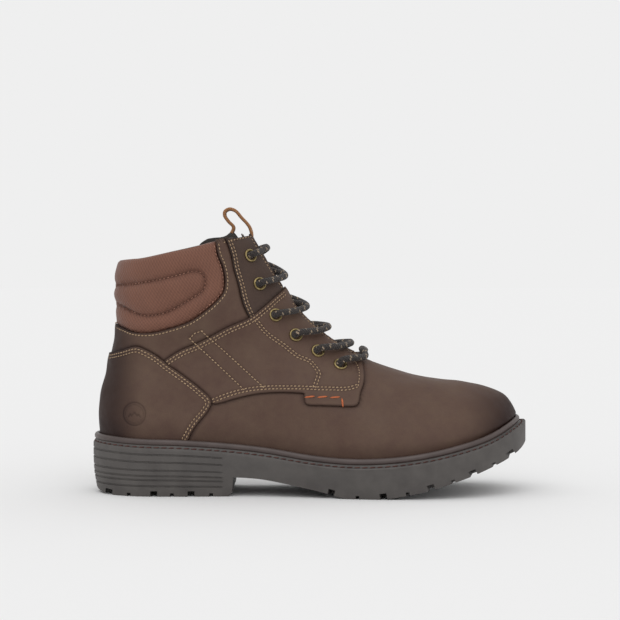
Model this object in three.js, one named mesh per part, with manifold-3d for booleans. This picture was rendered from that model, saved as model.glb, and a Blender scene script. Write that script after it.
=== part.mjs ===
// Lace-up insulated boot, right foot, in millimetres.
// +X points to the toe, +Y to the inner (medial) side and +Z up. The outsole stands on z = 0.
// The upper is drawn as rows that run round the foot, from the feather line above the sole
// up to the topline, and every layer is an offset of that one surface.

import * as THREE from 'three';
import { mergeVertices } from 'three/addons/utils/BufferGeometryUtils.js';
import Module from 'manifold-3d';

const wasm = await Module();
wasm.setup();

// ---- driving dimensions ------------------------------------------------------------------

const soleLength = 310;
const soleWidth = 113;
const bootHeight = 184.5;

const gap = 0.3;
const leather = 1.8;
const insulation = 2.4;
const toePuff = 1.2;
const lining = 0.8;
const facingBacking = 2;
const collarFabric = 1.0;

const beadHeight = 4;
const beadWidth = 3;
const ledgeAtHeel = 4.5;
const ledgeAtToe = 8;
const recessDepth = 3.1;
const lugDepth = 4;

const insoleBoard = 2;
const footbedFoam = 5;
const footbedCover = 1;
const footbedClearance = 1.8;
const shankWidth = 14;
const shankThickness = 1.5;

const tongueFabric = 0.8;
const tonguePadding = 1.8;

const laceDiameter = 4.6;
const laceClearance = 0.8;
const laceReach = laceDiameter / 2;
const tongueDepth = 2 * laceDiameter + 3.7;
const eyeletBore = laceReach + laceClearance;
const eyeletBarrel = eyeletBore + 0.5;
const eyeletFlange = eyeletBarrel + 1.3;
const eyeletHole = eyeletBarrel + 0.55;
const loopWidth = 12;
const loopThickness = 2;

// ---- shape of the last -------------------------------------------------------------------

const stretch = { x: soleLength / 310, y: soleWidth / 113, z: bootHeight / 184.5 };

// Each row: share of the height, back point, front point, sag towards the feather line and
// half widths on the outer and inner side at the stations along the foot.
const stations = [0, 0.1, 0.2, 0.35, 0.5, 0.65, 0.8, 0.93, 1];
const rows = [
  { t: 0, back: [-150.5, 42], front: [146.5, 53], sag: 1,
    outer: [68, 56, 44, 35, 40.5, 53, 64, 71.5, 75],
    inner: [68, 56, 43, 30.5, 31.5, 44, 58.5, 69, 75] },
  { t: 0.08, back: [-151.4, 54], front: [147, 57], sag: 0.85,
    outer: [69, 57, 45.5, 37, 42, 54.5, 65, 72, 75],
    inner: [69, 57, 44, 32.5, 33.5, 46, 60, 70, 75] },
  { t: 0.16, back: [-151, 62.4], front: [138.5, 71.5], sag: 0.63,
    outer: [60.9, 55, 44.6, 37.1, 40.7, 48.8, 56.1, 58.3, 56.9],
    inner: [60.9, 55, 43.5, 33, 33.5, 41.7, 51.6, 56.9, 57] },
  { t: 0.25, back: [-150, 71], front: [118, 80.9], sag: 0.4,
    outer: [52, 52, 43, 36.7, 38.5, 42, 46, 44, 39],
    inner: [52, 52, 42.5, 33, 33, 36.5, 42, 43, 39] },
  { t: 0.45, back: [-145, 89], front: [72, 86.3], sag: 0.15,
    outer: [49, 46, 39.4, 34.6, 34, 35.6, 40, 43.5, 46],
    inner: [49, 46, 39, 32.5, 31.5, 33, 37, 41.5, 45] },
  { t: 0.6, back: [-141.5, 104], front: [34, 98.6], sag: 0.04,
    outer: [44, 42.5, 37, 33.5, 32.5, 32.5, 34, 38, 42],
    inner: [44, 42.5, 37, 33, 32, 32, 33.5, 37.5, 42] },
  { t: 0.75, back: [-138, 123], front: [1.5, 122], sag: 0,
    outer: [39, 39, 37.5, 36, 35, 34.5, 33.5, 35.5, 38],
    inner: [39, 39, 37.5, 36, 35, 34.5, 33.5, 35.5, 38] },
  { t: 0.88, back: [-139.5, 145], front: [-20, 151], sag: 0,
    outer: [37, 38, 39, 38.8, 38, 36, 34.5, 35, 35.5],
    inner: [37, 38, 39, 38.8, 38, 36, 34.5, 35, 35.5] },
  { t: 1, back: [-137, 164.5], front: [-39.5, 184.5], sag: 0,
    outer: [36, 37.5, 38.5, 39, 38.5, 37.5, 36, 34, 33],
    inner: [36, 37.5, 38.5, 39, 38.5, 37.5, 36, 34, 33] },
];
const rowHeights = rows.map((row) => row.t);

const featherX = [-150.5, -120, -90, -60, -30, 0, 25, 50, 75, 100, 125, 146.5];
const featherZ = [42, 40.2, 39.3, 37.2, 34, 29.5, 27.6, 28.2, 31, 36, 43, 53];

// Underside of the sole from the back of the heel to the toe tip, seen from the side.
const heelBack = [[-158, 8], [-150, 2.5], [-140, 0]];
const heelFront = [[-57, 0], [-54, 3], [-53, 14]];
const archAndToe = [[-33, 12.2], [-15, 9], [7, 4.4], [19, 1.2], [25, 0], [46, 0], [64, 2.4],
  [80, 5.8], [97, 10.8], [110, 15], [126, 21], [139, 26.5], [149, 32], [158, 40]];

// Seams and edges of the upper, seen from the side.
const padEdge = [[-62, 186], [-66, 178], [-63.5, 168], [-60.5, 160], [-59.4, 151], [-60.3, 142.5],
  [-64.5, 136.5], [-73.5, 128.5], [-84, 121.5], [-98, 116.5], [-112, 113.4], [-124, 113.8],
  [-132, 116.5], [-145, 119]];
const counterEdge = [[-146, 95], [-132.5, 98.2], [-124, 100.6], [-116.4, 99.2], [-108.2, 94.7],
  [-101, 89.2], [-90, 81.5], [-78, 72.3], [-70.5, 65], [-74.2, 60], [-81.5, 51], [-92, 30]];
const ankleSeam = [[-101, 89.2], [-89.5, 98], [-79.4, 102.6], [-69, 108], [-55.7, 115],
  [-41.8, 121.4], [-31, 129], [-18, 139]];
const facingBack = [[-62, 190], [-57.5, 178], [-53.4, 169], [-51.2, 158], [-48, 147], [-44.8, 135],
  [-41.8, 121.4]];
const vampSeam = [[-70.5, 65], [-64, 64], [-50, 68.5], [-37.7, 71.2], [-25, 72.4], [-4.3, 71.8],
  [-4, 66.5], [-2, 64.2], [6, 63.6], [19, 63.2], [31.3, 63.2], [33.6, 65], [35.3, 71.8],
  [37.6, 78], [38, 85], [36, 92], [34, 97], [33, 108]];
const toeCapLine = [[100, 20], [97, 50], [90, 90]];
const stiffenerLine = [[-158, 88], [-125, 92], [-108, 87], [-85, 66], [-72, 30]];
const eyestayLine = [[-66, 192], [-61, 176], [-55, 152], [-50, 132], [-42, 117], [-22, 100],
  [-8, 90], [-3, 80], [0, 73], [45, 73]];
const vampLiningLine = [[-30, 20], [-20, 60], [-3, 80]];
const toplineDrop = 3.2;
const toplineX = [-137, -118, -96, -75, -58, -39.5];
const toplineZ = [164.5, 165.6, 169.9, 174.8, 180, 184.5];

const throat = { z: 88, halfWidth: 8 };
const topOpening = 12.5;
const eyeletPlaces = [[-42.2, 167.6], [-35.6, 147.8], [-24.4, 125.9], [-10.2, 111.9],
  [5.3, 100.7], [21, 91.4]];

const colours = {
  crazyHorseLeather: [0x5b4a42, 0.62, 0],
  darkLeather: [0x4d3c34, 0.6, 0],
  collarNylon: [0x6c4d43, 0.85, 0],
  blackTextile: [0x2b2826, 0.9, 0],
  foam: [0xb9b2a4, 0.95, 0],
  insulationFelt: [0xd8d4c8, 0.95, 0],
  liningTextile: [0x4a4440, 0.95, 0],
  fibreBoard: [0xa98c66, 0.9, 0],
  thermoplastic: [0xcfcabd, 0.6, 0],
  soleRubber: [0x4f4c4a, 0.75, 0],
  weltRubber: [0x4d403c, 0.6, 0],
  steel: [0x9a9c9e, 0.35, 1],
  brass: [0x9c8a60, 0.35, 1],
  laceYarn: [0x2f2723, 0.85, 0],
  tanWebbing: [0xa0714a, 0.85, 0],
};

// ---- curves ------------------------------------------------------------------------------

function spline(knots, values, at) {
  let i = 0;
  while (i < knots.length - 2 && at > knots[i + 1]) i += 1;
  const last = knots.length - 1;
  const slope = (j) => {
    const low = Math.max(j - 1, 0);
    const high = Math.min(j + 1, last);
    return (values[high] - values[low]) / (knots[high] - knots[low]);
  };
  const span = knots[i + 1] - knots[i];
  const s = (at - knots[i]) / span;
  if (s < 0) return values[i] + slope(i) * (at - knots[i]);
  if (s > 1) return values[i + 1] + slope(i + 1) * (at - knots[i + 1]);
  const start = slope(i) * span;
  const end = slope(i + 1) * span;
  const rise = values[i + 1] - values[i];
  return values[i] + s * (start + s * ((3 * rise - 2 * start - end) + s * (start + end - 2 * rise)));
}

function rowValue(t, pick) {
  return spline(rowHeights, rows.map(pick), t);
}

function featherAt(x) {
  return stretch.z * spline(featherX, featherZ, x / stretch.x);
}

function toplineAt(x) {
  return stretch.z * spline(toplineX, toplineZ, x / stretch.x);
}

function mix(a, b, share) {
  return a + (b - a) * share;
}

// Point of the outer surface. turn runs from 0 at the back of the heel, along the outer side,
// to pi at the toe and back along the inner side to 2 pi.
function lastPoint(turn, t) {
  const share = (1 - Math.cos(turn)) / 2;
  const x = mix(rowValue(t, (row) => row.back[0]), rowValue(t, (row) => row.front[0]), share);
  const level = mix(rowValue(t, (row) => row.back[1]), rowValue(t, (row) => row.front[1]), share);
  const [first, top] = [rows[0].back, rows[0].front];
  const chord = mix(first[1], top[1], (x - first[0]) / (top[0] - first[0]));
  const sag = (chord - spline(featherX, featherZ, x)) * rowValue(t, (row) => row.sag);
  const side = Math.sin(turn) >= 0 ? 'outer' : 'inner';
  const width = rowValue(t, (row) => spline(stations, row[side], share));
  const swing = x < -20 ? 0 : 6 * ((x + 20) / 167) ** 2;
  return new THREE.Vector3(
    x * stretch.x,
    (swing - width * Math.sin(turn)) * stretch.y,
    (level - sag) * stretch.z,
  );
}

function lastNormal(turn, t) {
  const step = 0.01;
  const along = lastPoint(turn + step, t).sub(lastPoint(turn - step, t));
  const up = lastPoint(turn, Math.max(t, 0) + step).sub(lastPoint(turn, Math.max(t, 0) - step));
  return along.cross(up).normalize();
}

// Point at a depth under (-) or above (+) the outer surface. From the feather line down the
// surface drops straight on to the sole.
function layerPoint(turn, t, height) {
  if (t > 0) return lastPoint(turn, t).addScaledVector(lastNormal(turn, t), height);
  const point = lastPoint(turn, 0).addScaledVector(lastNormal(turn, 0).setZ(0).normalize(), height);
  point.z = featherAt(point.x) - (t < 0 ? beadHeight - gap : 0);
  return point;
}

// Finds turn and t of a place on the outer side from its side view.
function findOnLast(x, z) {
  let turn = Math.PI / 2;
  let t = 0.6;
  for (let round = 0; round < 40; round += 1) {
    const here = lastPoint(turn, t);
    const stepTurn = lastPoint(turn + 0.001, t);
    const stepT = lastPoint(turn, t + 0.001);
    const a = (stepTurn.x - here.x) / 0.001;
    const b = (stepT.x - here.x) / 0.001;
    const c = (stepTurn.z - here.z) / 0.001;
    const d = (stepT.z - here.z) / 0.001;
    const missX = x * stretch.x - here.x;
    const missZ = z * stretch.z - here.z;
    const area = a * d - b * c;
    turn += 0.6 * (d * missX - b * missZ) / area;
    t += 0.6 * (a * missZ - c * missX) / area;
    turn = Math.min(Math.max(turn, 0.3), 3.05);
    t = Math.min(Math.max(t, 0.05), 1);
  }
  return { turn, t };
}

// ---- solids ------------------------------------------------------------------------------

function toSolid(geometry) {
  const bare = geometry.clone();
  bare.deleteAttribute('normal');
  bare.deleteAttribute('uv');
  const merged = mergeVertices(bare, 1e-4);
  return new wasm.Manifold(new wasm.Mesh({
    numProp: 3,
    vertProperties: new Float32Array(merged.attributes.position.array),
    triVerts: new Uint32Array(merged.index.array),
  }));
}

function toGeometry(solid) {
  const mesh = solid.getMesh();
  const geometry = new THREE.BufferGeometry();
  geometry.setAttribute('position', new THREE.BufferAttribute(mesh.vertProperties, 3));
  geometry.setIndex(new THREE.BufferAttribute(mesh.triVerts, 1));
  geometry.computeVertexNormals();
  return geometry;
}

// Closed ring: a section of points carried round the boot.
function ringSolid(turns, sectionAt) {
  const sections = turns.map(sectionAt);
  const size = sections[0].length;
  const positions = sections.flat().flatMap((point) => point.toArray());
  const index = [];
  for (let i = 0; i < turns.length; i += 1) {
    const next = (i + 1) % turns.length;
    for (let j = 0; j < size; j += 1) {
      const up = (j + 1) % size;
      const [p, q, r, s] = [i * size + j, next * size + j, next * size + up, i * size + up];
      // Both faces of a layer are split along the same diagonal, so layers nest.
      if (j < size / 2) index.push(p, q, r, p, r, s);
      else index.push(p, q, s, q, r, s);
    }
  }
  const geometry = new THREE.BufferGeometry();
  geometry.setAttribute('position', new THREE.Float32BufferAttribute(positions, 3));
  geometry.setIndex(index);
  return toSolid(geometry);
}

function evenTurns(count) {
  return Array.from({ length: count }, (unused, i) => 2 * Math.PI * i / count);
}

// Layer of the upper between two depths, open at the top and at the bottom.
function layer(outside, inside, levels, count = 30) {
  return ringSolid(evenTurns(count), (turn) => [
    ...levels.map((t) => layerPoint(turn, t, outside)),
    ...levels.toReversed().map((t) => layerPoint(turn, t, inside)),
  ]);
}

function sidePrism(points, fromY = -120, toY = 120) {
  const shape = new THREE.Shape(points.map(([x, z]) => new THREE.Vector2(x, z)));
  const geometry = new THREE.ExtrudeGeometry(shape, { depth: toY - fromY, bevelEnabled: false });
  geometry.rotateX(Math.PI / 2);
  geometry.translate(0, toY, 0);
  return toSolid(geometry);
}

function planPrism(points, fromZ = -20, toZ = 260) {
  const shape = new THREE.Shape(points.map(([x, y]) => new THREE.Vector2(x, y)));
  const geometry = new THREE.ExtrudeGeometry(shape, { depth: toZ - fromZ, bevelEnabled: false });
  geometry.translate(0, 0, fromZ);
  return toSolid(geometry);
}

function onBoot(points) {
  return points.map(([x, z]) => [x * stretch.x, z * stretch.z]);
}

// Thin blade along a seam, which leaves the gap between the panels that meet there.
function blade(points, width = gap) {
  const line = onBoot(points).map(([x, z]) => new THREE.Vector2(x, z));
  const left = [];
  const right = [];
  line.forEach((point, i) => {
    const before = line[Math.max(i - 1, 0)];
    const after = line[Math.min(i + 1, line.length - 1)];
    const aside = after.clone().sub(before).normalize().rotateAround(new THREE.Vector2(), Math.PI / 2);
    left.push(point.clone().addScaledVector(aside, width / 2).toArray());
    right.unshift(point.clone().addScaledVector(aside, -width / 2).toArray());
  });
  return sidePrism([...left, ...right]);
}

// Band that follows the feather line between two heights over it.
function featherBand(low, high, fromX = -170, toX = 170) {
  const steps = 22;
  const xs = Array.from({ length: steps + 1 }, (unused, i) => mix(fromX, toX, i / steps));
  return sidePrism([
    ...xs.map((x) => [x, featherAt(x) + low]),
    ...xs.toReversed().map((x) => [x, featherAt(x) + high]),
  ]);
}

function outline(height, count = 30) {
  return evenTurns(count).map((turn) => {
    const point = layerPoint(turn, -1, height);
    return [point.x, point.y];
  });
}

function region(...parts) {
  const points = onBoot(parts.flat());
  const apart = ([x, z], i) => {
    const [nextX, nextZ] = points[(i + 1) % points.length];
    return Math.hypot(nextX - x, nextZ - z) > 0.01;
  };
  return sidePrism(points.filter(apart));
}

const boot = new THREE.Group();

function addPiece(name, shape, [color, roughness, metalness]) {
  const geometry = shape.isBufferGeometry ? shape : toGeometry(shape);
  const mesh = new THREE.Mesh(geometry, new THREE.MeshStandardMaterial({ color, roughness, metalness }));
  mesh.name = name;
  boot.add(mesh);
  return mesh;
}

const sides = { lateral: -1, medial: 1 };

function halfOf(solid, side) {
  const [low, high] = side < 0 ? [-120, -gap / 2] : [gap / 2, 120];
  return solid.intersect(sidePrism([[-200, -50], [200, -50], [200, 300], [-200, 300]], low, high));
}

// ---- cutters shared by the layers --------------------------------------------------------

const throatTop = throat.z * stretch.z + throat.halfWidth;
const slotTop = bootHeight + 30;
const slot = (() => {
  const points = [
    [-throat.halfWidth, throatTop],
    [0, throatTop - throat.halfWidth],
    [throat.halfWidth, throatTop],
    [topOpening, slotTop],
    [-topOpening, slotTop],
  ];
  const shape = new THREE.Shape(points.map(([y, z]) => new THREE.Vector2(y, z)));
  const geometry = new THREE.ExtrudeGeometry(shape, { depth: 160 * stretch.x, bevelEnabled: false });
  geometry.rotateX(Math.PI / 2);
  geometry.rotateZ(Math.PI / 2);
  geometry.translate(-90 * stretch.x, 0, 0);
  return toSolid(geometry);
})();

const eyelets = [];
for (const [sideName, side] of Object.entries(sides)) {
  eyeletPlaces.forEach(([x, z], i) => {
    const found = findOnLast(x, z);
    const turn = side < 0 ? found.turn : 2 * Math.PI - found.turn;
    const centre = layerPoint(turn, found.t, 0);
    const normal = lastNormal(turn, found.t);
    eyelets.push({ name: `eyelet_${sideName}_${i + 1}`, side, row: i, turn, t: found.t, centre, normal });
  });
}

// Each hole has a flat seat round it, so the flange of its eyelet beds down.
function eyeletCutter(radius, low, high) {
  return eyelets.map(({ centre, normal }) => {
    const hole = new THREE.CylinderGeometry(radius, radius, high - low, 8);
    hole.translate(0, (high + low) / 2, 0);
    hole.applyQuaternion(new THREE.Quaternion().setFromUnitVectors(new THREE.Vector3(0, 1, 0), normal));
    hole.translate(centre.x, centre.y, centre.z);
    return toSolid(hole);
  }).reduce((all, hole) => all.add(hole));
}
const eyeletHoles = eyeletCutter(eyeletHole, -8, 8);
const eyeletSeats = eyeletCutter(eyeletFlange * 1.12, 0, 3);

const underTopline = (() => {
  const xs = [-170, -150, ...toplineX, -20, 160].map((x) => x * stretch.x);
  return sidePrism([
    ...xs.map((x) => [x, toplineAt(Math.max(Math.min(x, -30 * stretch.x), -150 * stretch.x)) - toplineDrop]),
    [160 * stretch.x, -40],
    [-170 * stretch.x, -40],
  ]);
})();

// ---- sole unit ---------------------------------------------------------------------------

function soleOutline(turn, inset) {
  const share = (1 - Math.cos(turn)) / 2;
  return layerPoint(turn, -1, mix(ledgeAtHeel, ledgeAtToe, share) - inset);
}

function buildOutsole() {
  const levels = [[-2, 4], [6, 2.2], [14, 0.6], [24, 0], [70, 0]];
  const walls = evenTurns(48).map((turn) => levels.map(([z, inset]) => {
    const point = soleOutline(turn, inset);
    return new THREE.Vector3(point.x, point.y, z);
  }));
  const block = walls[0].slice(1).map((unused, k) => {
    const low = walls.map((wall) => wall[k]);
    const high = walls.map((wall) => wall[k + 1]);
    return loftSolid(low, high);
  }).reduce((all, slab) => all.add(slab));
  const steps = 24;
  const top = Array.from({ length: steps + 1 }, (unused, i) => {
    const x = mix(170, -170, i / steps);
    return [x, featherAt(x) - beadHeight];
  });
  const profile = sidePrism([...onBoot([...heelBack, ...heelFront, ...archAndToe]), ...top]);
  const recess = planPrism(outline(-8.6)).intersect(featherBand(-beadHeight - recessDepth, 40));
  return block.intersect(profile).subtract(recess).subtract(treadGrooves());
}

// Solid between two rings with the same number of points.
function loftSolid(low, high) {
  const count = low.length;
  const middle = (ring) => ring.reduce((sum, p) => sum.add(p), new THREE.Vector3()).divideScalar(count);
  const points = [...low, ...high, middle(low), middle(high)];
  const index = [];
  for (let i = 0; i < count; i += 1) {
    const next = (i + 1) % count;
    index.push(i, next, count + next, i, count + next, count + i);
    index.push(next, i, 2 * count);
    index.push(count + i, count + next, 2 * count + 1);
  }
  const geometry = new THREE.BufferGeometry();
  geometry.setAttribute('position', new THREE.Float32BufferAttribute(points.flatMap((p) => p.toArray()), 3));
  geometry.setIndex(index);
  return toSolid(geometry);
}

// Grooves between the lugs: short ones from each edge and a few right across.
function treadGrooves() {
  const forefoot = [10, 28.5, 46, 62.5, 79, 94.5, 109.5, 123.5, 136];
  const heel = [-146, -131, -113, -99, -85.5, -71.5];
  const cuts = [];
  for (const x of [...forefoot, ...heel]) {
    for (const side of [-1, 1]) {
      const cut = new THREE.BoxGeometry(4.2, 30, lugDepth * 2);
      cut.rotateZ(side * (x > 0 ? 0.25 : -0.15));
      const point = soleOutline(turnAt(x, side), 4);
      cut.translate(point.x, point.y + side * 2, groundAt(x) * stretch.z);
      cuts.push(toSolid(cut));
    }
  }
  return cuts.reduce((all, cut) => all.add(cut));
}

function turnAt(x, side) {
  const [low, high] = [rows[0].back[0] - ledgeAtHeel, rows[0].front[0] + ledgeAtToe];
  const turn = Math.acos(1 - 2 * (x - low) / (high - low));
  return side < 0 ? turn : 2 * Math.PI - turn;
}

function groundAt(x) {
  const line = [...heelBack, [-57, 0], [-15, 9], ...archAndToe.slice(2)];
  const i = Math.max(line.findIndex((point) => point[0] > x), 1);
  const [[x0, z0], [x1, z1]] = [line[i - 1], line[i]];
  return mix(z0, z1, (x - x0) / (x1 - x0));
}

function buildStormWelt() {
  return ringSolid(evenTurns(30), (turn) => {
    const foot = layerPoint(turn, -1, gap);
    const base = layerPoint(turn, -1, gap + beadWidth);
    const rim = base.clone();
    const top = layerPoint(turn, -1, gap + beadWidth * 0.5);
    const inner = foot.clone();
    rim.z += beadHeight * 0.6;
    top.z += beadHeight - gap;
    inner.z += beadHeight - gap;
    return [foot, base, rim, top, inner, foot.clone().lerp(inner, 0.5)];
  });
}

addPiece('outsole', buildOutsole(), colours.soleRubber);
addPiece('storm_welt', buildStormWelt(), colours.weltRubber);

const boardBottom = -beadHeight + 2 * gap;
const boardTop = boardBottom + insoleBoard;
const liningDepth = leather + insulation + lining + 2 * gap;
const insoleShape = planPrism(outline(-liningDepth - 2 * gap));
addPiece('insole_board', insoleShape.intersect(featherBand(boardBottom, boardTop)), colours.fibreBoard);

const fillerTop = boardBottom - gap;
const shankSpan = [-100 * stretch.x, 12 * stretch.x];
function shankBar(width, low, high, extra) {
  const [from, to] = shankSpan;
  const bar = planPrism([[from - extra, -width / 2], [to + extra, -width / 2],
    [to + extra, width / 2], [from - extra, width / 2]]);
  return bar.intersect(featherBand(low, high));
}
const shankTop = fillerTop;
addPiece('shank', shankBar(shankWidth, shankTop - shankThickness, shankTop, 0), colours.steel);
addPiece('bottom_filler',
  planPrism(outline(-9.1)).intersect(featherBand(-beadHeight - recessDepth + gap, fillerTop))
    .subtract(shankBar(shankWidth + 2 * gap, shankTop - shankThickness - gap, 40, gap)),
  colours.foam);

const footbedShape = planPrism(outline(-liningDepth - footbedClearance));
const foamBottom = boardTop + gap;
addPiece('footbed_foam', footbedShape.intersect(featherBand(foamBottom, foamBottom + footbedFoam)),
  colours.foam);
const coverBottom = foamBottom + footbedFoam + gap;
addPiece('footbed_cover', footbedShape.intersect(featherBand(coverBottom, coverBottom + footbedCover)),
  colours.insulationFelt);

// ---- outer panels ------------------------------------------------------------------------

const outerLevels = [-1, 0, 0.09, 0.17, 0.27, 0.4, 0.55, 0.7, 0.85, 1];
const outerLeather = layer(0, -leather, outerLevels).subtract(slot).subtract(eyeletHoles)
  .subtract(eyeletSeats);

const seams = [padEdge, counterEdge, ankleSeam, facingBack, vampSeam].map((line) => blade(line))
  .reduce((all, cut) => all.add(cut));
const cutLeather = outerLeather.subtract(seams);

const farBack = [-175, 119];
const vampRegion = region(vampSeam, [[60, 140], [175, 110], [175, -20], [-100, -20]],
  counterEdge.slice(9).toReversed());
addPiece('vamp', cutLeather.intersect(vampRegion), colours.crazyHorseLeather);

const counterRegion = region(counterEdge, [[-98, -20], [-175, -20], [-175, 95]]);
addPiece('counter_cover', cutLeather.intersect(counterRegion), colours.crazyHorseLeather);

const quarterRegion = region(ankleSeam, [[40, 150]], vampSeam.toReversed(),
  counterEdge.slice(5, 8).toReversed());
const ankleRegion = region(padEdge, [[-175, 119], [-175, 95]], counterEdge.slice(0, 6), ankleSeam.slice(0, 6),
  facingBack.toReversed());
const facingRegion = region(facingBack, ankleSeam.slice(6), [[20, 160], [20, 200], [-62, 200]]);
for (const [name, side] of Object.entries(sides)) {
  const half = halfOf(cutLeather, side);
  addPiece(`quarter_${name}`, half.intersect(quarterRegion), colours.crazyHorseLeather);
  addPiece(`ankle_panel_${name}`, half.intersect(ankleRegion), colours.crazyHorseLeather);
  addPiece(`upper_facing_${name}`, half.intersect(facingRegion), colours.darkLeather);
}

const collarRegion = region(padEdge, [farBack, [-175, 200], [-62, 200]]);
const shaftLevels = outerLevels.slice(6);
const collarCut = (solid) => solid.intersect(collarRegion).subtract(blade(padEdge)).intersect(underTopline);
addPiece('collar_cover', collarCut(layer(0, -collarFabric, shaftLevels)), colours.collarNylon);
const foamOutside = -collarFabric - gap;
addPiece('collar_foam', collarCut(layer(foamOutside, -leather - gap - insulation, shaftLevels)), colours.foam);

const toplineBinding = layer(0, -liningDepth, [0.9, 0.95, 1.0]).subtract(blade(padEdge))
  .subtract(underTopline.translate([0, 0, gap])).intersect(collarRegion);
addPiece('collar_binding', toplineBinding, colours.blackTextile);

// ---- inner layers ------------------------------------------------------------------------

const middleTop = -leather - gap;
const middle = layer(middleTop, middleTop - insulation, outerLevels).intersect(underTopline);
const toeRegion = region(toeCapLine, [[200, 90], [200, 20]]);
const stiffenerRegion = region(stiffenerLine, [[-158, 20]]);
const eyestayRegion = region(eyestayLine, [[60, 120], [60, 210], [-66, 210]]);

const puff = layer(middleTop, middleTop - toePuff, outerLevels);
addPiece('toe_puff', puff.intersect(toeRegion).subtract(blade(toeCapLine)), colours.thermoplastic);
addPiece('heel_stiffener', middle.intersect(stiffenerRegion).subtract(blade(stiffenerLine)),
  colours.thermoplastic);
addPiece('insulation',
  middle.subtract(toeRegion).subtract(stiffenerRegion).subtract(eyestayRegion).subtract(collarRegion)
    .subtract(blade(padEdge)).subtract(blade(toeCapLine)).subtract(blade(stiffenerLine)).subtract(blade(eyestayLine)),
  colours.insulationFelt);

const backing = layer(middleTop, middleTop - facingBacking, outerLevels.slice(4));
const backingCut = backing.intersect(eyestayRegion).subtract(blade(eyestayLine)).subtract(slot)
  .subtract(eyeletHoles).intersect(underTopline);
for (const [name, side] of Object.entries(sides)) {
  addPiece(`eyestay_backing_${name}`, halfOf(backingCut, side), colours.liningTextile);
}

const innerTop = middleTop - insulation - gap;
const innerSkin = layer(innerTop, innerTop - lining, outerLevels).intersect(underTopline)
  .subtract(eyestayRegion).subtract(blade(eyestayLine)).subtract(blade(vampLiningLine));
const frontLiningRegion = region(vampLiningLine, [[-3, 80], [0, 120], [220, 120], [220, -20], [-30, -20]]);
addPiece('vamp_lining', innerSkin.intersect(frontLiningRegion), colours.liningTextile);
addPiece('shaft_lining', innerSkin.subtract(frontLiningRegion), colours.liningTextile);

// ---- tongue ------------------------------------------------------------------------------

const tongueOutline = [[-75, 178], [-71, 183.5], [-60, 187], [-52, 190.5], [0, 200], [40, 150], [44, 84],
  [34, 80], [16, 84], [0, 92], [-14, 101], [-30, 114], [-44, 130], [-52, 144], [-60, 160]];
const tongueLevels = [0.4, 0.55, 0.7, 0.85, 1, 1.06];
function tongueLayer(depth, thickness) {
  return layer(-depth, -depth - thickness, tongueLevels).intersect(region(tongueOutline));
}
addPiece('tongue_face', tongueLayer(tongueDepth, tongueFabric), colours.blackTextile);
const paddingDepth = tongueDepth + tongueFabric + gap;
addPiece('tongue_padding', tongueLayer(paddingDepth, tonguePadding), colours.foam);
const tongueBack = paddingDepth + tonguePadding + gap;
addPiece('tongue_lining', tongueLayer(tongueBack, tongueFabric), colours.liningTextile);

// ---- eyelets -----------------------------------------------------------------------------

const stackDepth = leather + facingBacking + gap;
const clinch = -stackDepth - 2 * gap;
for (const { name, centre, normal } of eyelets) {
  const profile = [
    [eyeletBore, clinch - 0.5], [eyeletFlange - 0.3, clinch - 0.5], [eyeletFlange - 0.3, clinch],
    [eyeletBarrel, clinch], [eyeletBarrel, gap], [eyeletFlange, gap], [eyeletFlange - 0.3, gap + 0.7],
    [eyeletBore, gap + 0.7], [eyeletBore, clinch - 0.5],
  ].map(([r, h]) => new THREE.Vector2(r, h));
  const mesh = addPiece(name, new THREE.LatheGeometry(profile, 10), colours.brass);
  mesh.position.copy(centre);
  mesh.quaternion.setFromUnitVectors(new THREE.Vector3(0, 1, 0), normal);
}

// ---- pull loop ---------------------------------------------------------------------------

// Webbing bent over the top of the tongue, seen edge-on.
const loopLine = [[-64, 180], [-64.2, 187], [-63.8, 194], [-62.8, 198], [-59.8, 200.6],
  [-56, 200.8], [-53, 198.8], [-49.5, 194.5], [-46.5, 190], [-45.6, 184], [-46.2, 178]];
addPiece('pull_loop',
  blade(loopLine, loopThickness).intersect(planPrism([[-90, -loopWidth / 2], [0, -loopWidth / 2],
    [0, loopWidth / 2], [-90, loopWidth / 2]])),
  colours.tanWebbing);

// ---- lace --------------------------------------------------------------------------------

const laceOver = leather + laceReach + 0.2;
const laceUnder = -(facingBacking + laceReach + 2.6);
const laceUnderFacing = laceUnder - 0.5;
const laceOverEdge = 1.5 * leather + laceReach + 0.2;
const laceBeside = laceOverEdge - 0.5;
const lowerStrand = laceReach + 1.3 - tongueDepth;
const upperStrand = lowerStrand + laceDiameter + 0.1;
const ridgeLift = 0.02;
const barLift = 0.05;

function eyeletAt(side, row) {
  return eyelets.find((eyelet) => eyelet.side === side && eyelet.row === row);
}

function throughEyelet({ turn, t }) {
  return [layerPoint(turn, t, laceUnder), layerPoint(turn, t, laceOver)];
}

// Place beside the edge of one facing: aside is counted outwards from the edge.
function besideEdge(side, t, aside, height) {
  let low = Math.PI / 2;
  let high = Math.PI;
  for (let round = 0; round < 30; round += 1) {
    const turn = (low + high) / 2;
    const { y, z } = lastPoint(turn, t);
    const edge = mix(throat.halfWidth, topOpening, (z - throatTop) / (slotTop - throatTop));
    if (-y > edge + aside) low = turn;
    else high = turn;
  }
  return layerPoint(side < 0 ? low : 2 * Math.PI - low, t, height);
}

// From the top of one eyelet over its own edge, across the opening and under the other edge.
function crossOver(from, to, middleHeight) {
  return [
    besideEdge(from.side, mix(from.t, to.t, 0.06), 7.5, laceBeside),
    besideEdge(from.side, mix(from.t, to.t, 0.16), -1.3, laceOverEdge),
    layerPoint(Math.PI, mix(from.t, to.t, 0.5) + ridgeLift, middleHeight),
    besideEdge(to.side, mix(from.t, to.t, 0.7), -1.4, laceUnderFacing),
  ];
}

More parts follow.
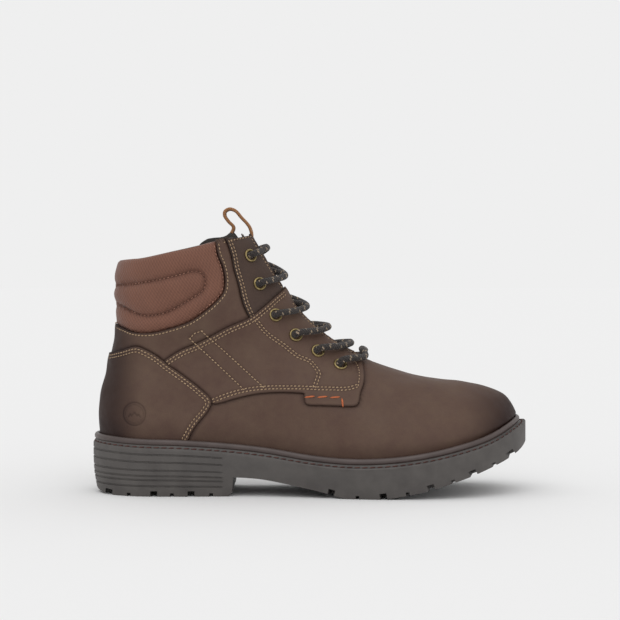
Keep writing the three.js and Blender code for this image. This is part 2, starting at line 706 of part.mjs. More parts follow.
// The loose end goes in over the edge beside the top eyelet and lies down along the lining.
const tailPlaces = [[-50, 176, -8.2], [-60, 174, -8.8], [-71, 164, -9.2],
  [-78, 148, -9.4], [-80, 128, -9.8], [-78, 108, -10], [-70, 94, -10.4], [-58, 92, -11],
  [-52, 104, -11], [-58, 118, -10.6]];

function laceStrand(startSide) {
  let side = startSide;
  let here = eyeletAt(side, 5);
  const points = [...throughEyelet(here).toReversed()];
  points.push(layerPoint(Math.PI, here.t + 0.05, side < 0 ? lowerStrand + 3.7 : upperStrand + 3.4));
  for (let row = 4; row >= 0; row -= 1) {
    side = -side;
    const next = eyeletAt(side, row);
    if (row < 4) points.push(...crossOver(here, next, side < 0 ? upperStrand : lowerStrand));
    points.push(...throughEyelet(next));
    here = next;
  }
  points.push(besideEdge(side, here.t + 0.005, 5, laceBeside));
  points.push(besideEdge(side, here.t + 0.01, 0.4, laceOverEdge));
  points.push(besideEdge(side, here.t + 0.015, -4.6, 0.5));
  points.push(besideEdge(side, here.t + 0.02, -3.4, laceUnderFacing));
  for (const [x, z, depth] of tailPlaces) {
    const { turn, t } = findOnLast(x, z);
    points.push(layerPoint(side < 0 ? turn : 2 * Math.PI - turn, t, depth));
  }
  return points;
}

// Straight runs between chosen points, with one step of the tube at each point.
class CordRoute extends THREE.Curve {
  constructor(points) {
    super();
    this.points = points;
  }

  getPoint(share, target = new THREE.Vector3()) {
    const place = share * (this.points.length - 1);
    const i = Math.min(Math.floor(place), this.points.length - 2);
    return target.lerpVectors(this.points[i], this.points[i + 1], place - i);
  }

  getUtoTmapping(u) {
    return u;
  }

  getTangent(share, target = new THREE.Vector3()) {
    const reach = 0.5 / (this.points.length - 1);
    const before = this.getPoint(Math.max(share - reach, 0));
    const after = this.getPoint(Math.min(share + reach, 1));
    return target.copy(after).sub(before).normalize();
  }
}

const lowest = [eyeletAt(1, 5), eyeletAt(-1, 5)];
const bar = [
  besideEdge(1, lowest[0].t + barLift * 0.4, 7.5, laceBeside),
  besideEdge(1, lowest[0].t + barLift, 0.4, laceOverEdge),
  layerPoint(Math.PI, lowest[0].t + barLift, laceBeside),
  besideEdge(-1, lowest[0].t + barLift, 0.4, laceOverEdge),
  besideEdge(-1, lowest[0].t + barLift * 0.4, 7.5, laceBeside),
];
const laceRoute = [...laceStrand(1).toReversed(), ...bar, ...laceStrand(-1)];

function roundSection(diameter, corners) {
  const corner = (i) => new THREE.Vector2().setX(diameter / 2)
    .rotateAround(new THREE.Vector2(), 2 * Math.PI * i / corners);
  return new THREE.Shape(Array.from({ length: corners }, (unused, i) => corner(i)));
}

addPiece('lace', toSolid(new THREE.ExtrudeGeometry(roundSection(laceDiameter, 8), {
  steps: laceRoute.length - 1, extrudePath: new CordRoute(laceRoute), bevelEnabled: false,
})), colours.laceYarn);

const agletLength = 20;
[['aglet_medial', laceRoute[0], laceRoute[1]], ['aglet_lateral', laceRoute.at(-1), laceRoute.at(-2)]]
  .forEach(([name, tip, before]) => {
    const away = tip.clone().sub(before).normalize();
    const aglet = addPiece(name, new THREE.CylinderGeometry(2.1, 2.1, agletLength, 10), colours.blackTextile);
    aglet.position.copy(tip).addScaledVector(away, gap + agletLength / 2);
    aglet.quaternion.setFromUnitVectors(new THREE.Vector3(0, 1, 0), away);
  });

// The boot stands with the middle of its box over the origin. The lace does not count.
boot.updateMatrixWorld(true);
const box = new THREE.Box3();
boot.children.filter((mesh) => !/^(lace|aglet)/.test(mesh.name)).forEach((mesh) => box.expandByObject(mesh, true));
const middle3 = box.getCenter(new THREE.Vector3());
boot.position.set(-middle3.x, -middle3.y, -box.min.z);

export default boot;
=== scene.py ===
# Lace-up insulated boot, right foot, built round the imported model.
# Sizes are in millimetres on the last and are turned to metres when a mesh is made.
import math

import bmesh
import bpy
import numpy as np
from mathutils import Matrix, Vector, kdtree, noise
from mathutils.geometry import delaunay_2d_cdt


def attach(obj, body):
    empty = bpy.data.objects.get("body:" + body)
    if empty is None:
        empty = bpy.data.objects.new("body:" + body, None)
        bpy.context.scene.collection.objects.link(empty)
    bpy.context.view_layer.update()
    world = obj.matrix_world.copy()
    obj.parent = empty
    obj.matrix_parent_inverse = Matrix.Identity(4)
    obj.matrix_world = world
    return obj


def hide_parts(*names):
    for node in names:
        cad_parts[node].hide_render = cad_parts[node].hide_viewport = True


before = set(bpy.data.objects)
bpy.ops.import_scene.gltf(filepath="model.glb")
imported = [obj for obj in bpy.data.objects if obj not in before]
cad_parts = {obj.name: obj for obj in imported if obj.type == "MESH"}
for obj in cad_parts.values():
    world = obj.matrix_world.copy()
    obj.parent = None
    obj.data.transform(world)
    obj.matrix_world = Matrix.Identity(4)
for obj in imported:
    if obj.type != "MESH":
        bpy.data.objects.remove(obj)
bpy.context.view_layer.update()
print("frame loaded,", len(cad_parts), "nodes")

# camera
view = {"distance": 1.2, "height": 0.150, "lens": 97.32, "shiftUp": -0.0473}
cameraData = bpy.data.cameras.new("camera")
cameraData.lens = view["lens"]
cameraData.sensor_width = 36
cameraData.shift_y = view["shiftUp"]
cameraData.clip_end = 40
camera = bpy.data.objects.new("camera", cameraData)
camera.location = (0, -view["distance"], view["height"])
camera.rotation_euler = (math.pi / 2, 0, 0)
bpy.context.collection.objects.link(camera)
bpy.context.scene.camera = camera
bpy.context.scene.view_settings.view_transform = "Standard"


# node and material helpers
def hexColour(code):
    parts = [int(code[i:i + 2], 16) / 255 for i in (0, 2, 4)]
    return [p / 12.92 if p <= 0.04045 else ((p + 0.055) / 1.055) ** 2.4 for p in parts] + [1.0]


def addNode(tree, kind, inputs=None, **settings):
    node = tree.nodes.new(kind)
    for key, value in settings.items():
        setattr(node, key, value)
    for key, value in (inputs or {}).items():
        if isinstance(value, bpy.types.NodeSocket):
            tree.links.new(value, node.inputs[key])
        else:
            node.inputs[key].default_value = value
    return node


def newMaterial(name):
    material = bpy.data.materials.new(name)
    material.use_nodes = True
    tree = material.node_tree
    tree.nodes.clear()
    shader = addNode(tree, "ShaderNodeBsdfPrincipled")
    output = addNode(tree, "ShaderNodeOutputMaterial", {"Surface": shader.outputs["BSDF"]})
    output.location = (400, 0)
    return material, tree, shader


def mixColours(tree, share, first, second, blend="MIX"):
    node = addNode(tree, "ShaderNodeMix", {0: share, 6: first, 7: second}, data_type="RGBA",
                   blend_type=blend)
    return node.outputs[2]


def addMath(tree, operation, first, second=0.0, clamp=False):
    node = addNode(tree, "ShaderNodeMath", {0: first, 1: second}, operation=operation,
                   use_clamp=clamp)
    return node.outputs[0]


def addNoise(tree, vector, grain, detail=3.0, roughness=0.55, distortion=0.0):
    # grain is the size of one blotch in millimetres
    node = addNode(tree, "ShaderNodeTexNoise", {"Vector": vector, "Scale": 1000.0 / grain,
                   "Detail": detail, "Roughness": roughness, "Distortion": distortion})
    return node.outputs["Fac"]


def stretchShare(tree, value, low, high):
    node = addNode(tree, "ShaderNodeMapRange", {"Value": value, "From Min": low, "From Max": high})
    return node.outputs["Result"]


def addBump(tree, height, strength, depth, below=None):
    inputs = {"Height": height, "Strength": strength, "Distance": depth / 1000.0}
    if below is not None:
        inputs["Normal"] = below
    return addNode(tree, "ShaderNodeBump", inputs).outputs["Normal"]


# Crazy-horse leather: waxed nubuck, buffed. Matt with soft clouds, pale where it is rubbed
# and reddish brown where it is burnished; the same dark colour also paints shade onto it.
leatherLooks = {
    "crazyHorseLeather": {"base": "523c33", "pale": "645143", "dark": "26140f", "rough": 0.62},
    "darkOiledLeather": {"base": "3f2f28", "pale": "503f36", "dark": "251914", "rough": 0.58},
}


def makeLeather(name, look):
    material, tree, shader = newMaterial(name)
    place = addNode(tree, "ShaderNodeTexCoord").outputs["Object"]
    clouds = stretchShare(tree, addNoise(tree, place, 26, 3), 0.3, 0.7)
    mottle = stretchShare(tree, addNoise(tree, place, 5.5, 4), 0.32, 0.68)
    pores = addNode(tree, "ShaderNodeTexVoronoi", {"Vector": place, "Scale": 1000 / 0.95})
    fibre = addNoise(tree, place, 0.9, 4, 0.7)
    blotch = addMath(tree, "ADD", addMath(tree, "MULTIPLY", clouds, 0.42),
                     addMath(tree, "MULTIPLY", mottle, 0.3), True)
    colour = mixColours(tree, blotch, hexColour(look["base"]), hexColour(look["pale"]))
    speckle = stretchShare(tree, fibre, 0.25, 0.75)
    colour = mixColours(tree, addMath(tree, "MULTIPLY", speckle, 0.16), colour,
                        hexColour(look["dark"]))
    # shade attribute: painted shade in stitch grooves, beside covering edges and at the heel back,
    # together with the real burnish and dyed edges
    shade = addNode(tree, "ShaderNodeAttribute", attribute_name="shade").outputs["Fac"]
    colour = mixColours(tree, shade, colour, hexColour(look["dark"]))
    wear = addNode(tree, "ShaderNodeAttribute", attribute_name="wear").outputs["Fac"]
    colour = mixColours(tree, wear, colour, hexColour(look["pale"]))
    rough = addMath(tree, "ADD", addMath(tree, "MULTIPLY", mottle, 0.12), look["rough"] - 0.05)
    normal = addBump(tree, pores.outputs["Distance"], 0.22, 0.12)
    normal = addBump(tree, fibre, 0.25, 0.2, normal)
    normal = addBump(tree, mottle, 0.1, 0.5, normal)
    tree.links.new(colour, shader.inputs["Base Color"])
    tree.links.new(rough, shader.inputs["Roughness"])
    tree.links.new(normal, shader.inputs["Normal"])
    shader.inputs["IOR"].default_value = 1.5
    shader.inputs["Specular IOR Level"].default_value = 0.26
    return material


# A plain finish: one colour broken up by blotches and a fine grain in the surface.
plainLooks = {
    # needled felt between upper and lining, coloured dark as painted shade where its edge shows in the
    # gaps
    "feltDarkAsShade": {"base": "2f2925", "other": "211c19", "blotch": 3.0, "grain": 0.6, "bump": 0.5,
                 "depth": 0.3, "rough": 0.95, "metal": 0.0},
    # moulded rubber, matt and a little dusty
    "mouldedRubber": {"base": "524e4b", "other": "474341", "blotch": 14, "grain": 0.7, "bump": 0.18,
                      "depth": 0.15, "rough": 0.62, "metal": 0.0},
    # extruded rubber welt, smoother than the sole
    "extrudedRubber": {"base": "4d413e", "other": "423734", "blotch": 18, "grain": 1.1, "bump": 0.08,
                       "depth": 0.1, "rough": 0.42, "metal": 0.0},
    # antique brass, plated, tumbled and lacquered
    "antiqueBrass": {"base": "a8966a", "other": "6f6040", "blotch": 1.6, "grain": 0.5, "bump": 0.1,
                     "depth": 0.05, "rough": 0.34, "metal": 1.0},
    # bonded polyester thread, waxed, twisted strands
    "beigeThread": {"base": "b59a7a", "other": "8f7459", "blotch": 2.2, "grain": 0.35, "bump": 0.5,
                    "depth": 0.15, "rough": 0.7, "metal": 0.0},
    "orangeThread": {"base": "c06a3c", "other": "a4522c", "blotch": 2.2, "grain": 0.35, "bump": 0.5,
                     "depth": 0.15, "rough": 0.7, "metal": 0.0},
    "russetThread": {"base": "53302a", "other": "3c211d", "blotch": 3, "grain": 0.5, "bump": 0.5,
                     "depth": 0.15, "rough": 0.75, "metal": 0.0},
    "maroonThread": {"base": "a87a66", "other": "6d4538", "blotch": 2.2, "grain": 0.35, "bump": 0.5,
                     "depth": 0.15, "rough": 0.7, "metal": 0.0},
    # needled felt and foam, never shiny
    "needledFelt": {"base": "8d857a", "other": "70685e", "blotch": 3, "grain": 0.6, "bump": 0.6,
                    "depth": 0.5, "rough": 0.95, "metal": 0.0},
    "openCellFoam": {"base": "b9b2a4", "other": "a39b8b", "blotch": 4, "grain": 0.8, "bump": 0.6,
                     "depth": 0.4, "rough": 0.95, "metal": 0.0},
    # pressed fibre board, rolled spring steel and moulded sheet plastic
    "pressedFibreBoard": {"base": "9a8060", "other": "7f684c", "blotch": 5, "grain": 0.5, "bump": 0.3,
                          "depth": 0.2, "rough": 0.85, "metal": 0.0},
    "rolledSteel": {"base": "9a9c9e", "other": "85888b", "blotch": 6, "grain": 0.4, "bump": 0.1,
                    "depth": 0.05, "rough": 0.35, "metal": 1.0},
    "mouldedPlastic": {"base": "cfcabd", "other": "bdb7a8", "blotch": 9, "grain": 0.6, "bump": 0.1,
                       "depth": 0.1, "rough": 0.5, "metal": 0.0},
    "polishedPlastic": {"base": "241e1b", "other": "1b1614", "blotch": 4, "grain": 0.6, "bump": 0.05,
                        "depth": 0.05, "rough": 0.3, "metal": 0.0},
}


def makePlain(name, look):
    material, tree, shader = newMaterial(name)
    place = addNode(tree, "ShaderNodeTexCoord").outputs["Object"]
    blotch = stretchShare(tree, addNoise(tree, place, look["blotch"], 4), 0.3, 0.7)
    grain = addNoise(tree, place, look["grain"], 3, 0.65)
    colour = mixColours(tree, blotch, hexColour(look["base"]), hexColour(look["other"]))
    rough = addMath(tree, "ADD", addMath(tree, "MULTIPLY", blotch, 0.12), look["rough"] - 0.06)
    tree.links.new(colour, shader.inputs["Base Color"])
    tree.links.new(rough, shader.inputs["Roughness"])
    tree.links.new(addBump(tree, grain, look["bump"], look["depth"]), shader.inputs["Normal"])
    shader.inputs["Metallic"].default_value = look["metal"]
    return material


# Woven cloth on the piece's own UV map, which is in metres: warp and weft cross in little
# squares, drawn a little coarser than the real thread so that they show.
clothLooks = {
    # ballistic nylon, plain weave, dyed and coated at the back
    "wovenNylon": {"base": "805644", "dark": "54352b", "thread": 1.3, "turn": 0.12, "rough": 0.62,
                   "bump": 0.7, "depth": 0.4, "sheen": 0.1},
    # knitted mesh of the tongue and the dark edge binding
    "blackMesh": {"base": "38332f", "dark": "191614", "thread": 1.3, "turn": 0.0, "rough": 0.85,
                  "bump": 0.8, "depth": 0.4, "sheen": 0.1},
    "greyBinding": {"base": "5a4e48", "dark": "3a322e", "thread": 1.0, "turn": 0.5, "rough": 0.85,
                    "bump": 0.7, "depth": 0.3, "sheen": 0.1},
    # brushed tricot lining
    "brushedLining": {"base": "5a4f49", "dark": "3f3733", "thread": 0.9, "turn": 0.3, "rough": 0.95,
                      "bump": 0.5, "depth": 0.3, "sheen": 0.25},
    # herringbone webbing of the loop
    "tanWebbing": {"base": "a87850", "dark": "6f4a2f", "thread": 1.1, "turn": 0.78, "rough": 0.85,
                   "bump": 0.8, "depth": 0.35, "sheen": 0.1},
}


def makeCloth(name, look):
    material, tree, shader = newMaterial(name)
    flat = addNode(tree, "ShaderNodeUVMap", uv_map="cloth").outputs["UV"]
    turned = addNode(tree, "ShaderNodeMapping", {"Vector": flat, "Rotation": (0, 0, look["turn"]),
                     "Scale": (1000 * math.pi / look["thread"],) * 3})
    split = addNode(tree, "ShaderNodeSeparateXYZ", {0: turned.outputs[0]})
    warp = addMath(tree, "SINE", split.outputs[0])
    weft = addMath(tree, "SINE", split.outputs[1])
    twill = addMath(tree, "SINE", addMath(tree, "ADD", split.outputs[0], split.outputs[1]))
    crossed = addMath(tree, "MULTIPLY", addMath(tree, "MULTIPLY", warp, weft), 0.26)
    weave = addMath(tree, "ADD", addMath(tree, "ADD", crossed,
                    addMath(tree, "MULTIPLY", twill, 0.24)), 0.5)
    place = addNode(tree, "ShaderNodeTexCoord").outputs["Object"]
    blotch = addNoise(tree, place, 17, 3)
    fuzz = addNoise(tree, place, 0.7, 3, 0.7)
    share = addMath(tree, "ADD", addMath(tree, "MULTIPLY", weave, 0.55),
                    addMath(tree, "MULTIPLY", blotch, 0.35), True)
    share = addMath(tree, "ADD", share, addMath(tree, "MULTIPLY", fuzz, 0.25), True)
    colour = mixColours(tree, share, hexColour(look["dark"]), hexColour(look["base"]))
    # shade attribute: painted shade on the cloth
    shade = addNode(tree, "ShaderNodeAttribute", attribute_name="shade").outputs["Fac"]
    colour = mixColours(tree, shade, colour, hexColour(look["dark"]))
    normal = addBump(tree, weave, look["bump"], look["depth"])
    normal = addBump(tree, fuzz, 0.3, 0.2, normal)
    tree.links.new(colour, shader.inputs["Base Color"])
    tree.links.new(normal, shader.inputs["Normal"])
    shader.inputs["Roughness"].default_value = look["rough"]
    shader.inputs["Sheen Weight"].default_value = look["sheen"]
    shader.inputs["Specular IOR Level"].default_value = 0.3
    return material


# Round braided lace: dark polyester with pairs of pale flecks that run across at a slant.
laceLook = {"base": "2a201c", "dark": "120d0b", "fleck": "a8937a", "repeat": 7.0, "plait": 1.7}


def makeLace(name, look):
    material, tree, shader = newMaterial(name)
    flat = addNode(tree, "ShaderNodeUVMap", uv_map="cloth").outputs["UV"]
    split = addNode(tree, "ShaderNodeSeparateXYZ", {0: flat})
    around = split.outputs[0]
    along = addMath(tree, "MULTIPLY", split.outputs[1], 1000 / look["repeat"])
    braidA = addMath(tree, "SINE", addMath(tree, "MULTIPLY", addMath(tree, "ADD",
                     addMath(tree, "MULTIPLY", around, 4.0), addMath(tree, "MULTIPLY", along,
                     look["repeat"] / look["plait"])), math.tau))
    braidB = addMath(tree, "SINE", addMath(tree, "MULTIPLY", addMath(tree, "SUBTRACT",
                     addMath(tree, "MULTIPLY", around, 4.0), addMath(tree, "MULTIPLY", along,
                     look["repeat"] / look["plait"])), math.tau))
    plait = addMath(tree, "MAXIMUM", braidA, braidB)
    helix = addMath(tree, "FRACT", addMath(tree, "ADD", around, along))
    lines = addMath(tree, "MAXIMUM",
                    addMath(tree, "LESS_THAN", addMath(tree, "ABSOLUTE",
                            addMath(tree, "SUBTRACT", helix, 0.35)), 0.065),
                    addMath(tree, "LESS_THAN", addMath(tree, "ABSOLUTE",
                            addMath(tree, "SUBTRACT", helix, 0.6)), 0.065))
    gate = addMath(tree, "LESS_THAN", addMath(tree, "FRACT", addMath(tree, "SUBTRACT",
                   addMath(tree, "MULTIPLY", along, 1.5), around)), 0.34)
    fleck = addMath(tree, "MULTIPLY", lines, gate)
    share = addMath(tree, "ADD", addMath(tree, "MULTIPLY", plait, 0.4), 0.5, True)
    colour = mixColours(tree, share, hexColour(look["dark"]), hexColour(look["base"]))
    colour = mixColours(tree, addMath(tree, "MULTIPLY", fleck, 0.85), colour,
                        hexColour(look["fleck"]))
    tree.links.new(colour, shader.inputs["Base Color"])
    tree.links.new(addBump(tree, plait, 0.8, 0.4), shader.inputs["Normal"])
    shader.inputs["Roughness"].default_value = 0.7
    shader.inputs["Sheen Weight"].default_value = 0.12
    return material


finishes = {name: makeLeather(name, look) for name, look in leatherLooks.items()}
finishes.update({name: makePlain(name, look) for name, look in plainLooks.items()})
finishes.update({name: makeCloth(name, look) for name, look in clothLooks.items()})
finishes["braidedLace"] = makeLace("braidedLace", laceLook)
print("materials made,", len(finishes))


# mesh helpers
shift = np.array([0.25, 0.578, 0.0])


def makePiece(name, points, faces, finish, body, replaced=(), flat=None, marks=None,
              shifted=True):
    points = np.asarray(points, float) + (shift if shifted else 0)
    mesh = bpy.data.meshes.new(name)
    mesh.from_pydata((points / 1000).tolist(), [], [list(map(int, face)) for face in faces])
    mesh.polygons.foreach_set("use_smooth", [True] * len(mesh.polygons))
    if flat is not None:
        layer = mesh.uv_layers.new(name="cloth")
        corners = np.zeros(len(mesh.loops), int)
        mesh.loops.foreach_get("vertex_index", corners)
        layer.data.foreach_set("uv", (np.asarray(flat, float)[corners] / 1000).ravel())
    for key, values in (marks or {}).items():
        attribute = mesh.attributes.new(key, "FLOAT", "POINT")
        attribute.data.foreach_set("value", np.asarray(values, float))
    mesh.validate()
    piece = bpy.data.objects.new(name, mesh)
    bpy.context.collection.objects.link(piece)
    return finishPiece(piece, finish, body, replaced)


def finishPiece(piece, finish, body, replaced=()):
    if finish is not None:
        piece.data.materials.clear()
        piece.data.materials.append(finishes[finish])
    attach(piece, body)
    if replaced:
        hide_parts(*replaced)
    return piece


def makeGroup(name, unit, sizes, alongPath):
    # A node tree that sets out copies of a unit on points, or along lines at a pitch
    group = bpy.data.node_groups.new(name, "GeometryNodeTree")
    face = group.interface
    face.new_socket("Geometry", in_out="INPUT", socket_type="NodeSocketGeometry")
    for key in sizes:
        face.new_socket(key, in_out="INPUT", socket_type="NodeSocketFloat")
    face.new_socket("Material", in_out="INPUT", socket_type="NodeSocketMaterial")
    face.new_socket("Geometry", in_out="OUTPUT", socket_type="NodeSocketGeometry")
    given = addNode(group, "NodeGroupInput")
    source = given.outputs["Geometry"]
    lie = addNode(group, "GeometryNodeInputNamedAttribute", {"Name": "lie"},
                  data_type="FLOAT_VECTOR").outputs["Attribute"]
    if alongPath:
        curve = addNode(group, "GeometryNodeMeshToCurve", {"Mesh": source})
        even = addNode(group, "GeometryNodeResampleCurve", {"Curve": curve.outputs["Curve"],
                       "Length": given.outputs["Pitch"]}, mode="LENGTH")
        source = even.outputs["Curve"]
        direction = addNode(group, "GeometryNodeInputTangent").outputs["Tangent"]
    else:
        direction = addNode(group, "GeometryNodeInputNamedAttribute", {"Name": "along"},
                            data_type="FLOAT_VECTOR").outputs["Attribute"]
    turned = addNode(group, "FunctionNodeAxesToRotation", {0: lie, 1: direction},
                     primary_axis="Z", secondary_axis="X")
    shape = unit(group, given)
    copies = addNode(group, "GeometryNodeInstanceOnPoints", {"Points": source, "Instance": shape,
                     "Rotation": turned.outputs["Rotation"]})
    real = addNode(group, "GeometryNodeRealizeInstances", {"Geometry": copies.outputs[0]})
    smooth = addNode(group, "GeometryNodeSetShadeSmooth", {"Geometry": real.outputs[0]})
    painted = addNode(group, "GeometryNodeSetMaterial", {"Geometry": smooth.outputs[0],
                      "Material": given.outputs["Material"]})
    addNode(group, "NodeGroupOutput", {"Geometry": painted.outputs[0]})
    return group


def runGroup(name, group, points, edges, vectors, sizes, finish):
    mesh = bpy.data.meshes.new(name + "Base")
    mesh.from_pydata(((np.asarray(points) + shift) / 1000).tolist(), edges, [])
    for key, values in vectors.items():
        attribute = mesh.attributes.new(key, "FLOAT_VECTOR", "POINT")
        attribute.data.foreach_set("vector", np.asarray(values, float).ravel())
    base = bpy.data.objects.new(name + "Base", mesh)
    bpy.context.collection.objects.link(base)
    modifier = base.modifiers.new("setOut", "NODES")
    modifier.node_group = group
    for item in group.interface.items_tree:
        if item.in_out == "INPUT" and item.name in sizes:
            modifier[item.identifier] = sizes[item.name]
        if item.in_out == "INPUT" and item.name == "Material":
            modifier[item.identifier] = finishes[finish]
    graph = bpy.context.evaluated_depsgraph_get()
    made = bpy.data.meshes.new_from_object(base.evaluated_get(graph))
    bpy.data.objects.remove(base)
    piece = bpy.data.objects.new(name, made)
    bpy.context.collection.objects.link(piece)
    return piece


# the last
lastRows = {
    "height": [0, 0.08, 0.16, 0.25, 0.45, 0.6, 0.75, 0.88, 1],
    "backX": [-150.5, -151.4, -151, -150, -145, -141.5, -138, -139.5, -137],
    "backZ": [42, 54, 62.4, 71, 89, 104, 123, 145, 164.5],
    "frontX": [146.5, 147, 138.5, 118, 72, 34, 1.5, -20, -39.5],
    "frontZ": [53, 57, 71.5, 80.9, 86.3, 98.6, 122, 151, 184.5],
    "sag": [1, 0.85, 0.63, 0.4, 0.15, 0.04, 0, 0, 0],
    "station": [0, 0.1, 0.2, 0.35, 0.5, 0.65, 0.8, 0.93, 1],
    "outer": [[68, 56, 44, 35, 40.5, 53, 64, 71.5, 75], [69, 57, 45.5, 37, 42, 54.5, 65, 72, 75],
              [60.9, 55, 44.6, 37.1, 40.7, 48.8, 56.1, 58.3, 56.9],
              [52, 52, 43, 36.7, 38.5, 42, 46, 44, 39], [49, 46, 39.4, 34.6, 34, 35.6, 40, 43.5, 46],
              [44, 42.5, 37, 33.5, 32.5, 32.5, 34, 38, 42],
              [39, 39, 37.5, 36, 35, 34.5, 33.5, 35.5, 38],
              [37, 38, 39, 38.8, 38, 36, 34.5, 35, 35.5],
              [36, 37.5, 38.5, 39, 38.5, 37.5, 36, 34, 33]],
    "inner": [[68, 56, 43, 30.5, 31.5, 44, 58.5, 69, 75], [69, 57, 44, 32.5, 33.5, 46, 60, 70, 75],
              [60.9, 55, 43.5, 33, 33.5, 41.7, 51.6, 56.9, 57],
              [52, 52, 42.5, 33, 33, 36.5, 42, 43, 39], [49, 46, 39, 32.5, 31.5, 33, 37, 41.5, 45],
              [44, 42.5, 37, 33, 32, 32, 33.5, 37.5, 42],
              [39, 39, 37.5, 36, 35, 34.5, 33.5, 35.5, 38],
              [37, 38, 39, 38.8, 38, 36, 34.5, 35, 35.5],
              [36, 37.5, 38.5, 39, 38.5, 37.5, 36, 34, 33]],
    "featherX": [-150.5, -120, -90, -60, -30, 0, 25, 50, 75, 100, 125, 146.5],
    "featherZ": [42, 40.2, 39.3, 37.2, 34, 29.5, 27.6, 28.2, 31, 36, 43, 53],
    "toplineX": [-137, -118, -96, -75, -58, -39.5],
    "toplineZ": [164.5, 165.6, 169.9, 174.8, 180, 184.5],
    "swingFrom": -20, "swing": 6, "swingLength": 167,
    "throatZ": 88, "throatHalf": 8, "topOpening": 12.5, "slotTop": 214.5,
}


def spline(knots, values, at):
    knots, values, at = np.asarray(knots, float), np.asarray(values, float), np.asarray(at, float)
    shape = at.shape
    at = at.ravel()
    if values.ndim == 1:
        values = np.repeat(values[:, None], at.size, axis=1)
    final = len(knots) - 1
    span = np.searchsorted(knots[1:-1], at, "left")
    column = np.arange(at.size)

    def slope(j):
        low, high = np.maximum(j - 1, 0), np.minimum(j + 1, final)
        return (values[high, column] - values[low, column]) / (knots[high] - knots[low])

    width = knots[span + 1] - knots[span]
    s = (at - knots[span]) / width
    start, end = slope(span), slope(span + 1)
    low, high = values[span, column], values[span + 1, column]
    rise, a, b = high - low, start * width, end * width
    inside = low + s * (a + s * ((3 * rise - 2 * a - b) + s * (a + b - 2 * rise)))
    result = np.where(s < 0, low + start * (at - knots[span]),
                      np.where(s > 1, high + end * (at - knots[span + 1]), inside))
    return result.reshape(shape)


def featherAt(x):
    return spline(lastRows["featherX"], lastRows["featherZ"], x)


def toplineAt(x):
    return spline(lastRows["toplineX"], lastRows["toplineZ"], x)


def lastPoint(turn, t):
    turn, t = np.broadcast_arrays(np.asarray(turn, float), np.asarray(t, float))
    turn, t = turn.ravel(), t.ravel()
    share = (1 - np.cos(turn)) / 2
    pick = {key: spline(lastRows["height"], lastRows[key], t)
            for key in ("backX", "backZ", "frontX", "frontZ", "sag")}
    x = pick["backX"] + (pick["frontX"] - pick["backX"]) * share
    level = pick["backZ"] + (pick["frontZ"] - pick["backZ"]) * share
    startX, endX = lastRows["backX"][0], lastRows["frontX"][0]
    startZ, endZ = lastRows["backZ"][0], lastRows["frontZ"][0]
    chord = startZ + (endZ - startZ) * (x - startX) / (endX - startX)
    sag = (chord - featherAt(x)) * pick["sag"]
    outer = np.array([spline(lastRows["station"], row, share) for row in lastRows["outer"]])
    inner = np.array([spline(lastRows["station"], row, share) for row in lastRows["inner"]])
    width = spline(lastRows["height"], np.where(np.sin(turn) >= 0, outer, inner), t)
    swing = lastRows["swing"] * (np.maximum(x - lastRows["swingFrom"], 0)
                                 / lastRows["swingLength"]) ** 2
    return np.stack([x, swing - width * np.sin(turn), level - sag], axis=1)


def slopesAt(turn, t, step=0.004):
    alongTurn = (lastPoint(turn + step, t) - lastPoint(turn - step, t)) / (2 * step)
    alongT = (lastPoint(turn, t + step) - lastPoint(turn, t - step)) / (2 * step)
    return alongTurn, alongT


def normalAt(turn, t):
    alongTurn, alongT = slopesAt(turn, np.maximum(t, 0.001))
    normal = np.cross(alongTurn, alongT)
    return normal / np.linalg.norm(normal, axis=1, keepdims=True)


def layerPoint(turn, t, height):
    # height is counted out from the last; below the feather line the layer drops straight down
    turn, t, height = (np.asarray(v, float).ravel() for v in np.broadcast_arrays(turn, t, height))
    point = lastPoint(turn, np.maximum(t, 0))
    normal = normalAt(turn, np.maximum(t, 0))
    low = t <= 0
    flatNormal = normal * [1, 1, 0]
    flatNormal /= np.linalg.norm(flatNormal, axis=1, keepdims=True)
    ease = np.clip(t / 0.06, 0, 1)[:, None]
    lean = normal * ease + flatNormal * (1 - ease)
    lean /= np.linalg.norm(lean, axis=1, keepdims=True)
    point = point + lean * height[:, None]
    point[low, 2] = featherAt(point[low, 0]) + t[low] * 180
    return point


def findOnLast(points, height=0.0):
    # turn and t on the outer side of a place in the side view
    points = np.asarray(points, float)
    turn = np.full(len(points), math.pi / 2)
    t = np.full(len(points), 0.6)
    step = 0.001
    for _ in range(60):
        here = layerPoint(turn, np.maximum(t, 0.002), height)
        a = (layerPoint(turn + step, np.maximum(t, 0.002), height) - here) / step
        b = (layerPoint(turn, np.maximum(t, 0.002) + step, height) - here) / step
        missX, missZ = points[:, 0] - here[:, 0], points[:, 1] - here[:, 2]
        area = a[:, 0] * b[:, 2] - b[:, 0] * a[:, 2]
        area = np.where(np.abs(area) < 50, 50 * np.where(area < 0, -1, 1), area)
        turn = np.clip(turn + 0.5 * (b[:, 2] * missX - b[:, 0] * missZ) / area, 0, math.pi)
        t = np.clip(t + 0.5 * (a[:, 0] * missZ - a[:, 2] * missX) / area, -0.03, 1.12)
    return np.stack([turn, t], axis=1)


def toplineT(turn):
    t = np.ones(len(turn))
    for _ in range(6):
        here = lastPoint(turn, t)
        rise = (lastPoint(turn, t + 0.01)[:, 2] - here[:, 2]) / 0.01
        t = t - (here[:, 2] - toplineAt(here[:, 0])) / rise
    return t


